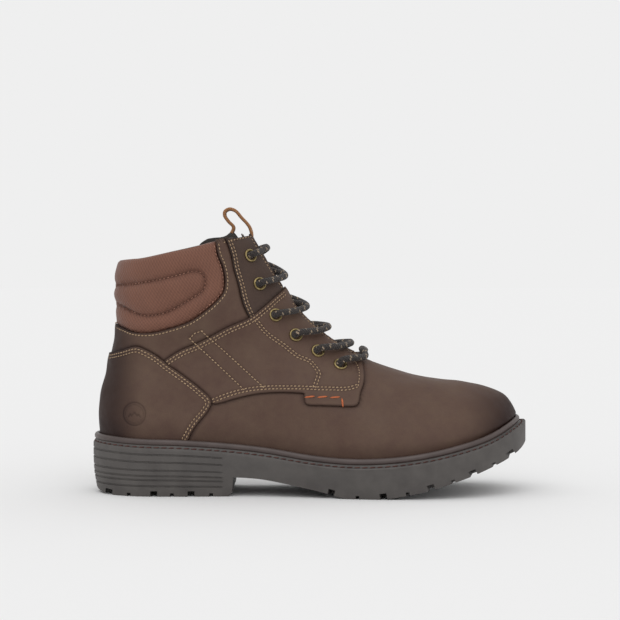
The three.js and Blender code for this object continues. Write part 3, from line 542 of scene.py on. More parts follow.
def smoothLine(points, step=0.8):
    # Catmull-Rom line through the points, about one sample a step
    points = np.asarray(points, float)
    padded = np.vstack([2 * points[0] - points[1], points, 2 * points[-1] - points[-2]])
    knots = np.concatenate([[0], np.cumsum(np.linalg.norm(np.diff(padded, axis=0), axis=1) ** 0.5)])
    result = []
    for i in range(1, len(padded) - 2):
        p0, p1, p2, p3 = padded[i - 1:i + 3]
        t0, t1, t2, t3 = knots[i - 1:i + 3]
        count = max(2, int(np.linalg.norm(p2 - p1) / step))
        for k in range(count):
            t = t1 + (t2 - t1) * k / count
            a1 = (t1 - t) / (t1 - t0) * p0 + (t - t0) / (t1 - t0) * p1
            a2 = (t2 - t) / (t2 - t1) * p1 + (t - t1) / (t2 - t1) * p2
            a3 = (t3 - t) / (t3 - t2) * p2 + (t - t2) / (t3 - t2) * p3
            b1 = (t2 - t) / (t2 - t0) * a1 + (t - t0) / (t2 - t0) * a2
            b2 = (t3 - t) / (t3 - t1) * a2 + (t - t1) / (t3 - t1) * a3
            result.append((t2 - t) / (t2 - t1) * b1 + (t - t1) / (t2 - t1) * b2)
    result.append(points[-1])
    return np.array(result)


def seam(points, height=0.0):
    return findOnLast(smoothLine(points), height)


def offsetLine(line, distance):
    # moves a line on the last sideways: up for a line that runs towards the toe
    turn, t = line[:, 0], line[:, 1]
    here = lastPoint(turn, t)
    alongTurn, alongT = slopesAt(turn, t)
    normal = np.cross(alongTurn, alongT)
    normal /= np.linalg.norm(normal, axis=1, keepdims=True)
    tangent = np.gradient(here, axis=0)
    tangent /= np.maximum(np.linalg.norm(tangent, axis=1, keepdims=True), 1e-9)
    move = np.cross(normal, tangent) * distance
    a, b = (alongTurn * alongTurn).sum(1), (alongTurn * alongT).sum(1)
    c, p, q = (alongT * alongT).sum(1), (move * alongTurn).sum(1), (move * alongT).sum(1)
    area = a * c - b * b
    return line + np.stack([(p * c - q * b) / area, (q * a - p * b) / area], axis=1)


domainScale = np.array([110.0, 150.0])


def joinLines(lines, closed=False):
    # cuts each line where it meets the next one and strings them together
    lines = [np.array(line) for line in lines]
    count = len(lines)
    for i in range(count if closed else count - 1):
        first, second = lines[i], lines[(i + 1) % count]
        apart = (first[:, None, :] - second[None, :, :]) * domainScale
        a, b = np.unravel_index(np.argmin((apart ** 2).sum(2)), apart.shape[:2])
        lines[i] = first[:a + 1]
        lines[(i + 1) % count] = (first[:a + 1] if (i + 1) % count == i else second)[b:]
    return np.vstack(lines)


def mirrorLine(line, axis):
    other = line[::-1].copy()
    other[:, 0] = 2 * axis - other[:, 0]
    return other


def spaceOut(line, step):
    # even steps along a closed outline, in the flat pattern
    closed = np.vstack([line, line[:1]]) * domainScale
    lengths = np.linalg.norm(np.diff(closed, axis=0), axis=1)
    keep = np.concatenate([[True], lengths > 1e-6])
    closed = closed[keep]
    total = np.concatenate([[0], np.cumsum(np.linalg.norm(np.diff(closed, axis=0), axis=1))])
    count = int(total[-1] / step)
    places = np.linspace(0, total[-1], count, endpoint=False)
    return np.stack([np.interp(places, total, closed[:, k]) for k in (0, 1)], axis=1)


def insideOutline(points, outline):
    result = np.zeros(len(points), bool)
    following = np.roll(outline, -1, axis=0)
    for start in range(0, len(points), 4000):
        x, y = points[start:start + 4000, 0][:, None], points[start:start + 4000, 1][:, None]
        crosses = (outline[:, 1] > y) != (following[:, 1] > y)
        rise = following[:, 1] - outline[:, 1]
        rise = np.where(np.abs(rise) < 1e-12, 1e-12, rise)
        at = outline[:, 0] + (y - outline[:, 1]) * (following[:, 0] - outline[:, 0]) / rise
        result[start:start + 4000] = ((crosses & (x < at)).sum(1) % 2) == 1
    return result


def distanceTo(places, line):
    # distance in space from places on the last to a seam
    seamPoints = lastPoint(line[:, 0], line[:, 1])
    tree = kdtree.KDTree(len(seamPoints))
    for i, point in enumerate(seamPoints):
        tree.insert(point, i)
    tree.balance()
    here = lastPoint(places[:, 0], places[:, 1])
    return np.array([tree.find(point)[2] for point in here])


def smooth(value):
    value = np.clip(value, 0, 1)
    return value * value * (3 - 2 * value)


def triangulate(outline, spacing, extra=()):
    # fills a flat pattern with an even triangle net that follows its outline
    edge = spaceOut(outline, min(spacing, 0.9))
    low, high = edge.min(0), edge.max(0)
    rows = np.arange(low[1], high[1], spacing * 0.866)
    grid = [np.stack([np.arange(low[0] + (k % 2) * spacing / 2, high[0], spacing),
                      np.full(len(np.arange(low[0] + (k % 2) * spacing / 2, high[0], spacing)), row)],
                     axis=1) for k, row in enumerate(rows)]
    grid = np.vstack(grid)
    near = [np.asarray(line) * domainScale for line in extra]
    rings = []
    following, before = np.roll(edge, -1, axis=0), np.roll(edge, 1, axis=0)
    along = following - before
    along /= np.maximum(np.linalg.norm(along, axis=1, keepdims=True), 1e-9)
    area = 0.5 * (edge[:, 0] * following[:, 1] - following[:, 0] * edge[:, 1]).sum()
    inward = np.stack([-along[:, 1], along[:, 0]], axis=1) * (1 if area > 0 else -1)
    for distance in (0.5, 1.1):
        rings.append(edge + inward * distance)
    special = np.vstack(rings + near)
    tree = kdtree.KDTree(len(special) + len(edge))
    for i, point in enumerate(np.vstack([special, edge])):
        tree.insert((point[0], point[1], 0), i)
    tree.balance()
    far = np.array([tree.find((p[0], p[1], 0))[2] > spacing * 0.55 for p in grid])
    inner = np.vstack([special, grid[far]])
    inner = inner[insideOutline(inner, edge)]
    tree = kdtree.KDTree(len(edge))
    for i, point in enumerate(edge):
        tree.insert((point[0], point[1], 0), i)
    tree.balance()
    clear = np.array([tree.find((p[0], p[1], 0))[2] > 0.35 for p in inner])
    inner = inner[clear]
    points = np.vstack([edge, inner])
    count = len(edge)
    loops = [(i, (i + 1) % count) for i in range(count)]
    result = delaunay_2d_cdt([Vector(p) for p in points], loops, [], 1, 1e-4)
    verts = np.array([[v[0], v[1]] for v in result[0]])
    faces = np.array([f for f in result[2] if len(f) == 3])
    a, b, c = verts[faces[:, 0]], verts[faces[:, 1]], verts[faces[:, 2]]
    turned = (b[:, 0] - a[:, 0]) * (c[:, 1] - a[:, 1]) - (b[:, 1] - a[:, 1]) * (c[:, 0] - a[:, 0])
    faces[turned < 0] = faces[turned < 0][:, ::-1]
    return verts / domainScale, faces


def flatPattern(turn, t, level):
    # lays a sheet out flat: arc length round the last at one level, and height along it
    knots = np.linspace(-math.pi, 2 * math.tau, 1081)
    ring = lastPoint(knots, np.full(1081, level))
    arc = np.concatenate([[0], np.cumsum(np.linalg.norm(np.diff(ring, axis=0), axis=1))])
    return np.stack([np.interp(turn, knots, arc), t * 132], axis=1)


def shellFaces(faces, count):
    # outer skin, inner skin turned over and the rim between them
    edges = {}
    for face in faces:
        for k in range(3):
            a, b = int(face[k]), int(face[(k + 1) % 3])
            if (b, a) in edges:
                del edges[(b, a)]
            else:
                edges[(a, b)] = True
    rim = [(b, a, a + count, b + count) for a, b in edges]
    return [tuple(f) for f in faces] + [tuple(f[::-1] + count) for f in faces] + rim


# seams of the upper, seen from the outer side
seams = {
    "pad": [[-66.5, 186], [-66, 178], [-64.2, 168], [-61, 160], [-59.4, 151], [-60.3, 142.5],
            [-64.5, 136.5], [-73.5, 128.5], [-84, 121.5], [-98, 116.5], [-112, 113.4],
            [-124, 113.8], [-132, 116.5], [-141, 119.5]],
    "counter": [[-145, 95.5], [-140.7, 96], [-132.4, 98.2], [-121.8, 101], [-116.4, 99.2],
                [-108.2, 94.7], [-100.9, 89.1], [-89.9, 81.5], [-77.9, 72.3], [-71.6, 65.6],
                [-74.2, 60], [-81.5, 51.1], [-87.3, 41.3], [-91, 34]],
    "ankle": [[-107, 87], [-101, 91.5], [-89.5, 98.8], [-79.4, 103.1], [-69.2, 108.2],
              [-55.7, 115.4], [-41.8, 121.4], [-31, 129.5], [-24.5, 135.3], [-17, 142]],
    "facing": [[-60.5, 190], [-57.7, 181.2], [-53.4, 169], [-51.2, 158.3], [-47.9, 147.3],
               [-44.8, 135], [-40.8, 126], [-38, 121]],
    "vamp": [[-78, 62.5], [-70.5, 64], [-64, 64.6], [-57, 66.5], [-50, 68.5], [-37.7, 71.2],
             [-25, 72.4], [-12, 72.3], [-4.6, 71.8]],
    "tab": [[-4.4, 71.6], [-4.2, 68], [-3.4, 65], [-1.5, 63.9], [6, 63.6], [19, 63.2], [29, 63],
            [32.2, 63.8], [33.8, 66.5], [34.8, 71.8], [37, 78], [37.6, 84], [36.4, 91],
            [34.6, 97], [33.5, 108]],
    "eyestay": [[-38, 122.3], [-30.1, 113.1], [-18.5, 104.9], [-8.6, 97.4], [-0.6, 94], [4.3, 88.8],
                [5.9, 85.2], [4.1, 79.7], [2.9, 76.4]],
    "bottom": [[-69.6, 65.8], [-56.9, 70.8], [-44.2, 74.1], [-30.9, 75.6], [-10, 75.7], [10, 75.3],
               [26.7, 75.3], [32, 76.5]],
    "front": [[27.5, 96.4], [31.2, 92.8], [33.7, 87.6], [34, 82.2], [33.2, 77]],
    "bandLow": [[-83.9, 109.5], [-46.4, 74.4]],
    "bandHigh": [[-75.5, 114.8], [-32.7, 76]],
    "bandTop": [[-83.9, 109.5], [-80.5, 113.2], [-75.5, 114.8]],
    "quilt": [[-141, 146.6], [-134, 146.9], [-127.5, 147.4], [-114.9, 149.1], [-105.1, 150.7],
              [-92.9, 153.6], [-80, 157], [-75.3, 156.2], [-72.5, 152.9], [-72.6, 148.4],
              [-73.8, 143], [-79.4, 139.6], [-89.3, 133.4], [-100.1, 127.8], [-107.2, 126],
              [-114.1, 125.2], [-121, 126], [-128.2, 129.4], [-134, 132], [-139.5, 134]],
    "barTack": [[-4.6, 69.4], [4, 69.3], [13, 69.2], [21.6, 68.6]],
    "barEnd": [[22, 68.6], [22.4, 61.8]],
}
sewing = {"lacingInset": 2.2, "quarterLacing": (97.5, 134), "facingLacing": (139, 180),
          "edge": 2.8, "rowGap": 2.05, "lift": 1.35, "blend": 13, "groove": 0.42, "grooveWidth": 0.75,
          "roll": 1.1, "leather": 1.7}
axisBack, axisToe = 0.0, math.pi

line = {name: seam(points) for name, points in seams.items()}
counterEdge = offsetLine(line["counter"], sewing["edge"])
ankleEdge = offsetLine(line["ankle"], sewing["edge"])
facingEdge = offsetLine(line["facing"], -sewing["edge"] + 0.4)


def lacingEdge(aside):
    # edge of the opening on the outer side, from the throat to above the topline
    ts = np.linspace(0.5, 1.1, 140)
    low, high = np.full(len(ts), math.pi / 2), np.full(len(ts), math.pi)
    for _ in range(30):
        turn = (low + high) / 2
        point = lastPoint(turn, ts)
        throatTop, top = lastRows["throatZ"] + lastRows["throatHalf"], lastRows["slotTop"]
        rise = np.clip((point[:, 2] - throatTop) / (top - throatTop), -1, 1)
        edge = lastRows["throatHalf"] + (lastRows["topOpening"] - lastRows["throatHalf"]) * rise
        drop = np.clip(1 - (throatTop - point[:, 2]) / lastRows["throatHalf"], 0, 1)
        edge = np.where(point[:, 2] < throatTop, lastRows["throatHalf"] * np.sqrt(drop), edge)
        outside = -point[:, 1] > edge + aside
        low, high = np.where(outside, turn, low), np.where(outside, high, turn)
    return np.stack([low, ts], axis=1)


def topLine(startTurn, endTurn, past):
    # line along the top edge, past it by some millimetres that fold inwards
    turn = np.linspace(startTurn, endTurn, max(8, int(abs(endTurn - startTurn) * 130)))
    t = toplineT(turn)
    rise = np.linalg.norm(slopesAt(turn, t)[1], axis=1)
    return np.stack([turn, t + past / rise], axis=1)


lacing = lacingEdge(0.0)
bottomT = -0.018


def foldIn(turn, t, height, radius):
    # past the top edge the skin turns over a round of this radius and goes down inside
    top = toplineT(turn)
    rise = np.linalg.norm(slopesAt(turn, top)[1], axis=1)
    past = (t - top) * rise + radius
    over = past > 0
    result = layerPoint(turn, np.minimum(t, top - radius / rise), height)
    if not over.any():
        return result
    turn, top, rise, past, height = turn[over], top[over], rise[over], past[over], height[over]
    base = layerPoint(turn, top - radius / rise, 0)
    normal = normalAt(turn, top - radius / rise)
    up = slopesAt(turn, top - radius / rise)[1]
    up /= np.linalg.norm(up, axis=1, keepdims=True)
    angle = np.minimum(past / radius, math.pi)
    extra = np.maximum(past - math.pi * radius, 0)
    reach = radius + height
    turned = base - normal * radius + normal * (reach * np.cos(angle))[:, None] \
        + up * (reach * np.sin(angle) - extra)[:, None]
    result[over] = turned
    return result


def panelHeight(panel, places):
    # lifted where it lies over a neighbour, rolled at its edge, drawn in along its stitches
    height = np.full(len(places), panel.get("base", 0.0))
    edges = [distanceTo(places, edge) for edge in panel["over"]]
    if edges:
        near = np.min(edges, axis=0)
        height += sewing["lift"] * (1 - smooth(near / sewing["blend"]))
        height -= 0.75 * (1 - np.minimum(near / sewing["roll"], 1)) ** 2
    rows = [distanceTo(places, row) for row in panel["rows"]]
    groove = np.zeros(len(places))
    if rows:
        groove = np.exp(-(np.min(rows, axis=0) / sewing["grooveWidth"]) ** 2)
        height -= sewing["groove"] * groove
    hidden = np.full(len(places), 99.0)
    for cover in panel["under"]:
        away = distanceTo(places, cover)
        inside = insideOutline(places, cover)
        hidden = np.minimum(hidden, np.where(inside, -away, away))
    height -= 1.0 * (1 - smooth((hidden + 1.5) / 3.5))
    # painted shade in the stitch grooves
    shade = 0.5 * groove
    # a dark dyed line along the panel's own overlapping edge
    if edges:
        shade += 0.75 * np.exp(-(near / 0.8) ** 2)
    # painted shadow on the panel just outside the edge of each panel that covers it
    shade += 0.62 * np.exp(-(np.maximum(hidden, 0) / 1.3) ** 2) * (hidden < 50)
    return height, shade


def burnishAndPaintedShade(points):
    # burnish, dark and reddish round the toe and up the back of the heel, with painted shade deepening
    # the heel back; a little darker near the sole
    x, _, z = points.T
    toe = smooth((x - 100) / 46) * 0.95 * (1 - 0.5 * smooth((z - 62) / 16))
    # back of the heel: burnish and painted shade
    back = smooth((-114 - x) / 27) * 0.9
    low = (1 - smooth((z - featherAt(x)) / 16)) * 0.2
    return toe + back + low


def markDepth(points):
    # blind emboss near the heel: a ring with three peaks, pressed into the leather
    x, z = points[:, 0] + 122.6, points[:, 2] - 57.2
    radius = np.hypot(x, z)
    outer = np.exp(-((radius - 7.9) / 0.55) ** 2)
    inner = np.exp(-((radius - 6.3) / 0.35) ** 2) * 0.6
    peak = np.abs(z + 2.2 - np.maximum.reduce([3.4 - 1.3 * np.abs(x), 2 - 1.3 * np.abs(x - 2.9),
                                               2 - 1.3 * np.abs(x + 2.9)]))
    hills = np.exp(-(peak / 0.75) ** 2) * (radius < 5.2)
    return np.clip(outer + inner + hills, 0, 1)


def makePanel(name, outline, panel, finish, replaced, fold=1.1, spacing=1.9,
              extra=()):
    panel.setdefault("under", [])
    ringLines = list(extra)
    for row in panel["rows"]:
        ringLines += [row, offsetLine(row, 0.9), offsetLine(row, -0.9)]
    for edge in panel["over"]:
        ringLines += [offsetLine(edge, -1.9), offsetLine(edge, 1.9)]
    domain, faces = triangulate(outline, spacing, ringLines)
    height, shade = panelHeight(panel, domain)
    turn, t = domain.T
    flat = lastPoint(turn, t)
    height += np.array([noise.noise(Vector(p / 11)) for p in flat]) * 0.28
    if panel.get("mark"):
        pressed = markDepth(flat)
        height -= 0.42 * pressed
        shade += 0.45 * pressed
    shade += burnishAndPaintedShade(flat)
    rim = 0.6 * np.exp(-(distanceTo(domain, outline) / 0.5) ** 2)
    outside = foldIn(turn, t, height - rim * 0.5, fold)
    inside = foldIn(turn, t, height - sewing["leather"], fold)
    wear = np.zeros(len(turn))
    if panel["over"]:
        near = np.min([distanceTo(domain, edge) for edge in panel["over"]], axis=0)
        wear = 0.18 * np.exp(-((near - 1.8) / 1.2) ** 2)
    allFaces = shellFaces(faces, len(domain))
    points = np.vstack([outside, inside])
    marks = {"shade": np.clip(np.tile(shade, 2), 0, 1), "wear": np.tile(wear, 2)}
    return makePiece(name, points, allFaces, finish, "boot", replaced, marks=marks)


def flipLine(path, axis):
    other = path.copy()
    other[:, 0] = 2 * axis - other[:, 0]
    return other


def flipPanel(panel, axis):
    return {key: [flipLine(path, axis) for path in value] if key in ("over", "rows", "under")
            else value for key, value in panel.items()}


def rowPair(name):
    # double row of stitches, one on each side of a drawn line
    return [offsetLine(line[name], sewing["rowGap"] / 2),
            offsetLine(line[name], -sewing["rowGap"] / 2)]


# counter: round the heel, over everything it meets
counterHalf = counterEdge[counterEdge[:, 1] > bottomT + 0.012]
counterHalf = np.vstack([[axisBack, counterEdge[0, 1]], counterHalf])
counterHalf = np.vstack([counterHalf, [counterHalf[-1, 0] - 0.008, bottomT], [axisBack, bottomT]])
counterOutline = np.vstack([counterHalf, mirrorLine(counterHalf, axisBack)])
counterVisible = counterEdge[counterEdge[:, 1] > 0.02]
counterRows = [row[3:-6] for row in rowPair("counter")]
counterPanel = {"over": [counterVisible, flipLine(counterVisible, axisBack)],
                "rows": counterRows + [flipLine(row, axisBack) for row in counterRows],
                "under": [], "mark": True}

# quarter: over the ankle panel, the facing and the vamp, under the counter
vampEdge = np.vstack([line["vamp"], line["tab"][1:]])
quarterBack = seam([[-72, 60], [-79, 62], [-86, 70], [-96, 79], [-106, 84], [-108, 90]])
quarterOutline = joinLines([quarterBack, ankleEdge, lacing[::-1], vampEdge[::-1]], closed=True)
ankleRows = [row[6:-3] for row in rowPair("ankle")]
lacingRow = lacingEdge(sewing["lacingInset"])
lacingZ = lastPoint(lacingRow[:, 0], lacingRow[:, 1])[:, 2]
quarterLow, quarterHigh = sewing["quarterLacing"]
facingLow, facingHigh = sewing["facingLacing"]
quarterLace = lacingRow[(lacingZ > quarterLow) & (lacingZ < quarterHigh)]
facingLace = lacingRow[(lacingZ > facingLow) & (lacingZ < facingHigh)]
quarterPanel = {"over": [vampEdge, ankleEdge],
                "rows": ankleRows + rowPair("eyestay") + rowPair("bottom")
                + [line["front"], line["bandLow"], line["bandHigh"], quarterLace],
                "under": [counterOutline]}

# facing: over the ankle panel, under the quarter
facingBottom = offsetLine(line["ankle"], -6.0)
foldLength = 5.5
topForFacing = topLine(facingEdge[0, 0] - 0.05, math.pi - 0.2, foldLength)
facingOutline = joinLines([facingEdge[::-1], topForFacing, lacing[::-1], facingBottom[::-1]],
                          closed=True)
topInset = 2.6


def belowEdge(path):
    rise = np.linalg.norm(slopesAt(path[:, 0], toplineT(path[:, 0]))[1], axis=1)
    return (toplineT(path[:, 0]) - path[:, 1]) * rise


def underTop(startTurn, endTurn, inset):
    return topLine(startTurn, endTurn, -inset)


belowTop = [row[belowEdge(row) > topInset] for row in rowPair("facing")]
facingTopRow = underTop(belowTop[0][0, 0], facingLace[-1, 0], topInset)
facingPanel = {"over": [facingEdge], "rows": belowTop + [facingLace, facingTopRow],
               "under": [quarterOutline]}

# ankle panel: over the collar cloth, under the facing, the quarter and the counter
padLine = line["pad"]
ankleFront = offsetLine(line["facing"], 5.0)
ankleUnder = offsetLine(line["ankle"], -6.0)
counterLower = offsetLine(line["counter"], -7.0)
topForAnkle = topLine(padLine[0, 0] - 0.03, ankleFront[0, 0] + 0.05, foldLength)
backLine = np.array([[axisBack, t] for t in np.linspace(0.3, 0.9, 80)])
ankleOutline = joinLines([backLine, padLine[::-1], topForAnkle, ankleFront, ankleUnder[::-1],
                          counterLower[::-1]], closed=True)
padRow = offsetLine(padLine, 1.7)
padTopRow = underTop(padRow[0, 0] + 0.01, facingEdge[0, 0], topInset)
padRow = padRow[belowEdge(padRow) > topInset]
anklePanel = {"over": [padLine], "rows": [padRow, padTopRow, line["bandTop"]],
              "under": [quarterOutline, facingOutline, counterOutline], "base": -0.15}

# vamp: under the quarters and the counter, closed over the toe
vampUnder = seam([[-97, 30], [-92, 50], [-84, 66], [-74, 74], [-50, 79], [-25, 81], [0, 81],
                  [18, 82], [24, 90], [24, 106]])
vampStart = vampUnder[vampUnder[:, 1] > 0.01]
vampHalf = joinLines([np.vstack([[vampStart[0, 0], bottomT], vampStart]), lacing[::-1]])
vampHalf = np.vstack([vampHalf, [axisToe, lacing[0, 1]]])
vampOutline = np.vstack([vampHalf, mirrorLine(vampHalf, axisToe)])
vampPanel = {"over": [], "rows": [],
             "under": [quarterOutline, flipLine(quarterOutline, axisToe), counterOutline,
                       flipLine(counterOutline, axisToe)]}
print("seams laid out")

markGrid = np.array([[x, z] for x in np.arange(-132, -113, 0.75) for z in np.arange(47.8, 66.6, 0.75)
                     if math.hypot(x + 122.6, z - 57.2) < 9.4])
markPlaces = findOnLast(markGrid)
makePanel("counterLeather", counterOutline, counterPanel, "crazyHorseLeather",
          ["counter_cover"], extra=[markPlaces, flipLine(markPlaces, axisBack)])
print("counter made")
for sideName, axis in (("lateral", None), ("medial", axisToe)):
    def sided(path):
        return path if axis is None else flipLine(path, axis)

    def sidedPanel(panel):
        return panel if axis is None else flipPanel(panel, axis)

    makePanel("quarterLeather_" + sideName, sided(quarterOutline), sidedPanel(quarterPanel),
              "crazyHorseLeather", ["quarter_" + sideName])
    makePanel("facingLeather_" + sideName, sided(facingOutline), sidedPanel(facingPanel),
              "darkOiledLeather", ["upper_facing_" + sideName])
    makePanel("ankleLeather_" + sideName, sided(ankleOutline), sidedPanel(anklePanel),
              "crazyHorseLeather", ["ankle_panel_" + sideName])
print("side panels made")
makePanel("vampLeather", vampOutline, vampPanel, "crazyHorseLeather", ["vamp"],
          spacing=2.2)
print("vamp made")

# padded collar
collar = {"valley": 2.3, "puff": 3.5, "reach": 8.5, "fold": 2.8, "inside": 8.0, "pucker": 0.35,
          "under": 6.0, "spacing": 1.7, "smoothing": 30}
quiltLine = line["quilt"]
for smoothing in range(collar["smoothing"]):
    quiltLine[1:-1] = (quiltLine[:-2] + 2 * quiltLine[1:-1] + quiltLine[2:]) / 4
quiltLine = quiltLine[quiltLine[:, 0] > 0.02]
collarTop = topLine(axisBack, padLine[0, 0] + 0.16, collar["inside"])
padUnder = offsetLine(padLine, collar["under"])
collarHalf = joinLines([collarTop, padUnder])
collarHalf[:, 0] = np.maximum(collarHalf[:, 0], axisBack)
collarHalf = collarHalf[collarHalf[:, 0] > 0.001]
collarHalf = np.vstack([[axisBack, collarHalf[0, 1]], collarHalf, [axisBack, collarHalf[-1, 1]]])
collarOutline = np.vstack([collarHalf, mirrorLine(collarHalf, axisBack)[1:-1]])
padHalf = joinLines([collarTop, padLine])
padHalf = padHalf[padHalf[:, 0] > 0.001]
padHalf = np.vstack([[axisBack, padHalf[0, 1]], padHalf, [axisBack, padHalf[-1, 1]]])
padShape = np.vstack([padHalf, mirrorLine(padHalf, axisBack)[1:-1]])
collarSeams = [padLine, flipLine(padLine, axisBack), quiltLine, flipLine(quiltLine, axisBack)]


def buildCollar():
    extra = [offsetLine(path, shiftBy) for path in collarSeams[2:] for shiftBy in (-1.2, 0, 1.2)]
    extra += [offsetLine(path, -1.2) for path in collarSeams[:1]]
    domain, faces = triangulate(collarOutline, collar["spacing"], extra)
    turn, t = domain.T
    near = np.min([distanceTo(domain, path) for path in collarSeams], axis=0)
    share = np.clip(near / collar["reach"], 0, 1)
    height = collar["puff"] * np.sqrt(1 - (1 - share) ** 2) - collar["valley"]
    flat = lastPoint(turn, t)
    covered = ~insideOutline(domain, padShape)
    height = np.where(covered, -collar["valley"] - 0.35, height)
    for i, point in enumerate(flat):
        if covered[i]:
            continue
        fade = math.exp(-near[i] / 3.6) * min(near[i] / 1.2, 1)
        height[i] += collar["pucker"] * fade * noise.noise(Vector(point / 2.6)) * 2
        height[i] += 0.5 * noise.noise(Vector(point / 13))
    top = toplineT(turn)
    rise = np.linalg.norm(slopesAt(turn, top)[1], axis=1)
    ease = smooth(((top - t) * rise) / 9)
    height = height * ease + (1 - ease) * (0.3 + 0.2 * height)
    outside = foldIn(turn, t, height, collar["fold"])
    inside = foldIn(turn, t, height - 0.8, collar["fold"])
    # painted shade in the quilting valleys along the seams and towards the back of the heel
    shade = 0.65 * np.exp(-(near / 1.1) ** 2) + smooth((-124 - flat[:, 0]) / 14) * 0.3
    flatMap = flatPattern(turn, t, 0.8)
    return makePiece("collarCloth", np.vstack([outside, inside]), shellFaces(faces, len(domain)),
                     "wovenNylon", "boot", ["collar_cover", "collar_foam"],
                     flat=np.vstack([flatMap, flatMap]),
                     marks={"shade": np.clip(np.tile(shade, 2), 0, 1)})


collarPiece = buildCollar()
print("collar made")

# lining and binding
liningSizes = {"depth": 5.3, "thick": 0.9}


def liningRegion():
    # the lining stops short of the lacing, so it is cut as a flat pattern
    front = lacingEdge(1.5)
    halfTop = topLine(axisBack, front[-1, 0], -1.0)
    halfTop = halfTop[halfTop[:, 0] < np.interp(halfTop[:, 1], front[:, 1], front[:, 0])]
    edge = joinLines([halfTop, front[::-1]])
    bottom = np.array([[turn, 0.03] for turn in np.linspace(math.pi, axisBack, 60)])
    half = np.vstack([edge, [math.pi, edge[-1, 1]], bottom])
    return half


liningHalf = liningRegion()
for sideName, axis in (("lateral", None), ("medial", axisToe)):
    outline = liningHalf if axis is None else flipLine(liningHalf, axis)
    domain, faces = triangulate(outline, 3.4)
    turn, t = domain.T
    outside = layerPoint(turn, t, -liningSizes["depth"])
    inside = layerPoint(turn, t, -liningSizes["depth"] - liningSizes["thick"])
    flatMap = np.stack([turn * 130, t * 150], axis=1)
    makePiece("lining_" + sideName, np.vstack([outside, inside]), shellFaces(faces, len(domain)),
              "brushedLining", "boot",
              ["shaft_lining", "vamp_lining"] if axis is None else [],
              flat=np.vstack([flatMap, flatMap]), marks={"shade": np.zeros(2 * len(domain))})


def tube(name, centre, radius, finish, body, replaced=(), sides=12, closed=False,
         squash=(1.0, 1.0), up=None, shifted=True):
    # a round or flattened section carried along a line
    centre = np.asarray(centre, float)
    count = len(centre)
    tangent = np.gradient(centre, axis=0)
    if closed:
        tangent = np.roll(centre, -1, axis=0) - np.roll(centre, 1, axis=0)
    tangent /= np.linalg.norm(tangent, axis=1, keepdims=True)
    if up is None:
        frameUp = np.zeros_like(centre)
        current = np.cross(tangent[0], [0.3, 0.9, 0.2])
        for i in range(count):
            current = current - tangent[i] * np.dot(current, tangent[i])
            current /= np.linalg.norm(current)
            frameUp[i] = current
    else:
        frameUp = np.asarray(up, float)
        frameUp = frameUp - tangent * (frameUp * tangent).sum(1)[:, None]
        frameUp /= np.linalg.norm(frameUp, axis=1, keepdims=True)
    aside = np.cross(tangent, frameUp)
    lengths = np.concatenate([[0], np.cumsum(np.linalg.norm(np.diff(centre, axis=0), axis=1))])
    points, flat = [], []
    around = sides + 1
    for k in range(around):
        angle = math.tau * k / sides
        points.append(centre + radius * (squash[0] * math.cos(angle) * aside
                                         + squash[1] * math.sin(angle) * frameUp))
        flat.append(np.stack([np.full(count, 1000.0 * k / sides), lengths], axis=1))
    points, flat = np.array(points), np.array(flat)
    mesh = bmesh.new()
    verts = [[mesh.verts.new((points[k, i] + (shift if shifted else 0)) / 1000)
              for i in range(count)] for k in range(sides)]
    layer = mesh.loops.layers.uv.new("cloth")
    steps = count if closed else count - 1
    for i in range(steps):
        j = (i + 1) % count
        for k in range(sides):
            n = (k + 1) % sides
            face = mesh.faces.new((verts[k][i], verts[n][i], verts[n][j], verts[k][j]))
            face.smooth = True
            ends = ((k, i), (k + 1, i), (k + 1, i + 1), (k, i + 1))
            for loop, (a, b) in zip(face.loops, ends):
                along = lengths[b] if b < count else lengths[-1] + 1
                loop[layer].uv = (a / sides, along / 1000)
    if not closed:
        mesh.faces.new([verts[k][0] for k in range(sides)][::-1])
        mesh.faces.new([verts[k][-1] for k in range(sides)])
    bmesh.ops.recalc_face_normals(mesh, faces=mesh.faces)
    data = bpy.data.meshes.new(name)
    mesh.to_mesh(data)
    mesh.free()
    piece = bpy.data.objects.new(name, data)
    bpy.context.collection.objects.link(piece)
    return finishPiece(piece, finish, body, replaced)


# binding: a narrow roll that closes the collar cloth on the lining
bindingTurn = np.linspace(-padLine[0, 0] - 0.3, padLine[0, 0] + 0.3, 220)
bindingT = toplineT(bindingTurn)
bindingCentre = layerPoint(bindingTurn, bindingT, 0) - normalAt(bindingTurn, bindingT) * 4.9
bindingCentre[:, 2] -= 0.6
tube("collarBinding", bindingCentre, 1.15, "greyBinding", "boot",
     ["collar_binding"], sides=10)
print("lining and binding made")

# tongue
tongue = {"face": -12.0, "back": -17.2, "spacing": 2.4, "reach": 9, "wing": -74.0,
          "low": 0.43, "tuck": 0.16, "wingRise": 4.0, "middleRise": 8.5}


def tongueShape():
    # wings reach back under the collar at the top and narrow down to the throat
    around = np.linspace(math.pi / 2, math.pi, 300)
    alongTop = lastPoint(around, toplineT(around))[:, 0]
    wingTurn = float(np.interp(tongue["wing"], alongTop, around))
    turn = np.linspace(wingTurn, math.pi, 70)
    rise = np.linalg.norm(slopesAt(turn, toplineT(turn))[1], axis=1)
    share = (turn - wingTurn) / (math.pi - wingTurn)
    lift = tongue["wingRise"] * np.clip(share / 0.16, 0, 1) ** 0.5 \
        + (tongue["middleRise"] - tongue["wingRise"]) * smooth((share - 0.35) / 0.5)
    top = np.stack([turn, toplineT(turn) + lift / rise], axis=1)
    level = np.linspace(tongue["low"], top[0, 1], 70)
    edge = np.interp(level, lacing[:, 1], lacing[:, 0])
    upward = smooth((level - 0.62) / (top[0, 1] - 0.62))
    back = edge - tongue["tuck"] * (1 - upward) - (edge[-1] - wingTurn) * upward
    half = np.vstack([[axisToe, tongue["low"]], np.stack([back, level], axis=1), top[1:-1],
                      [axisToe, top[-1, 1]]])
    return np.vstack([half, mirrorLine(half, axisToe)[1:-1]])


tongueOutline = tongueShape()


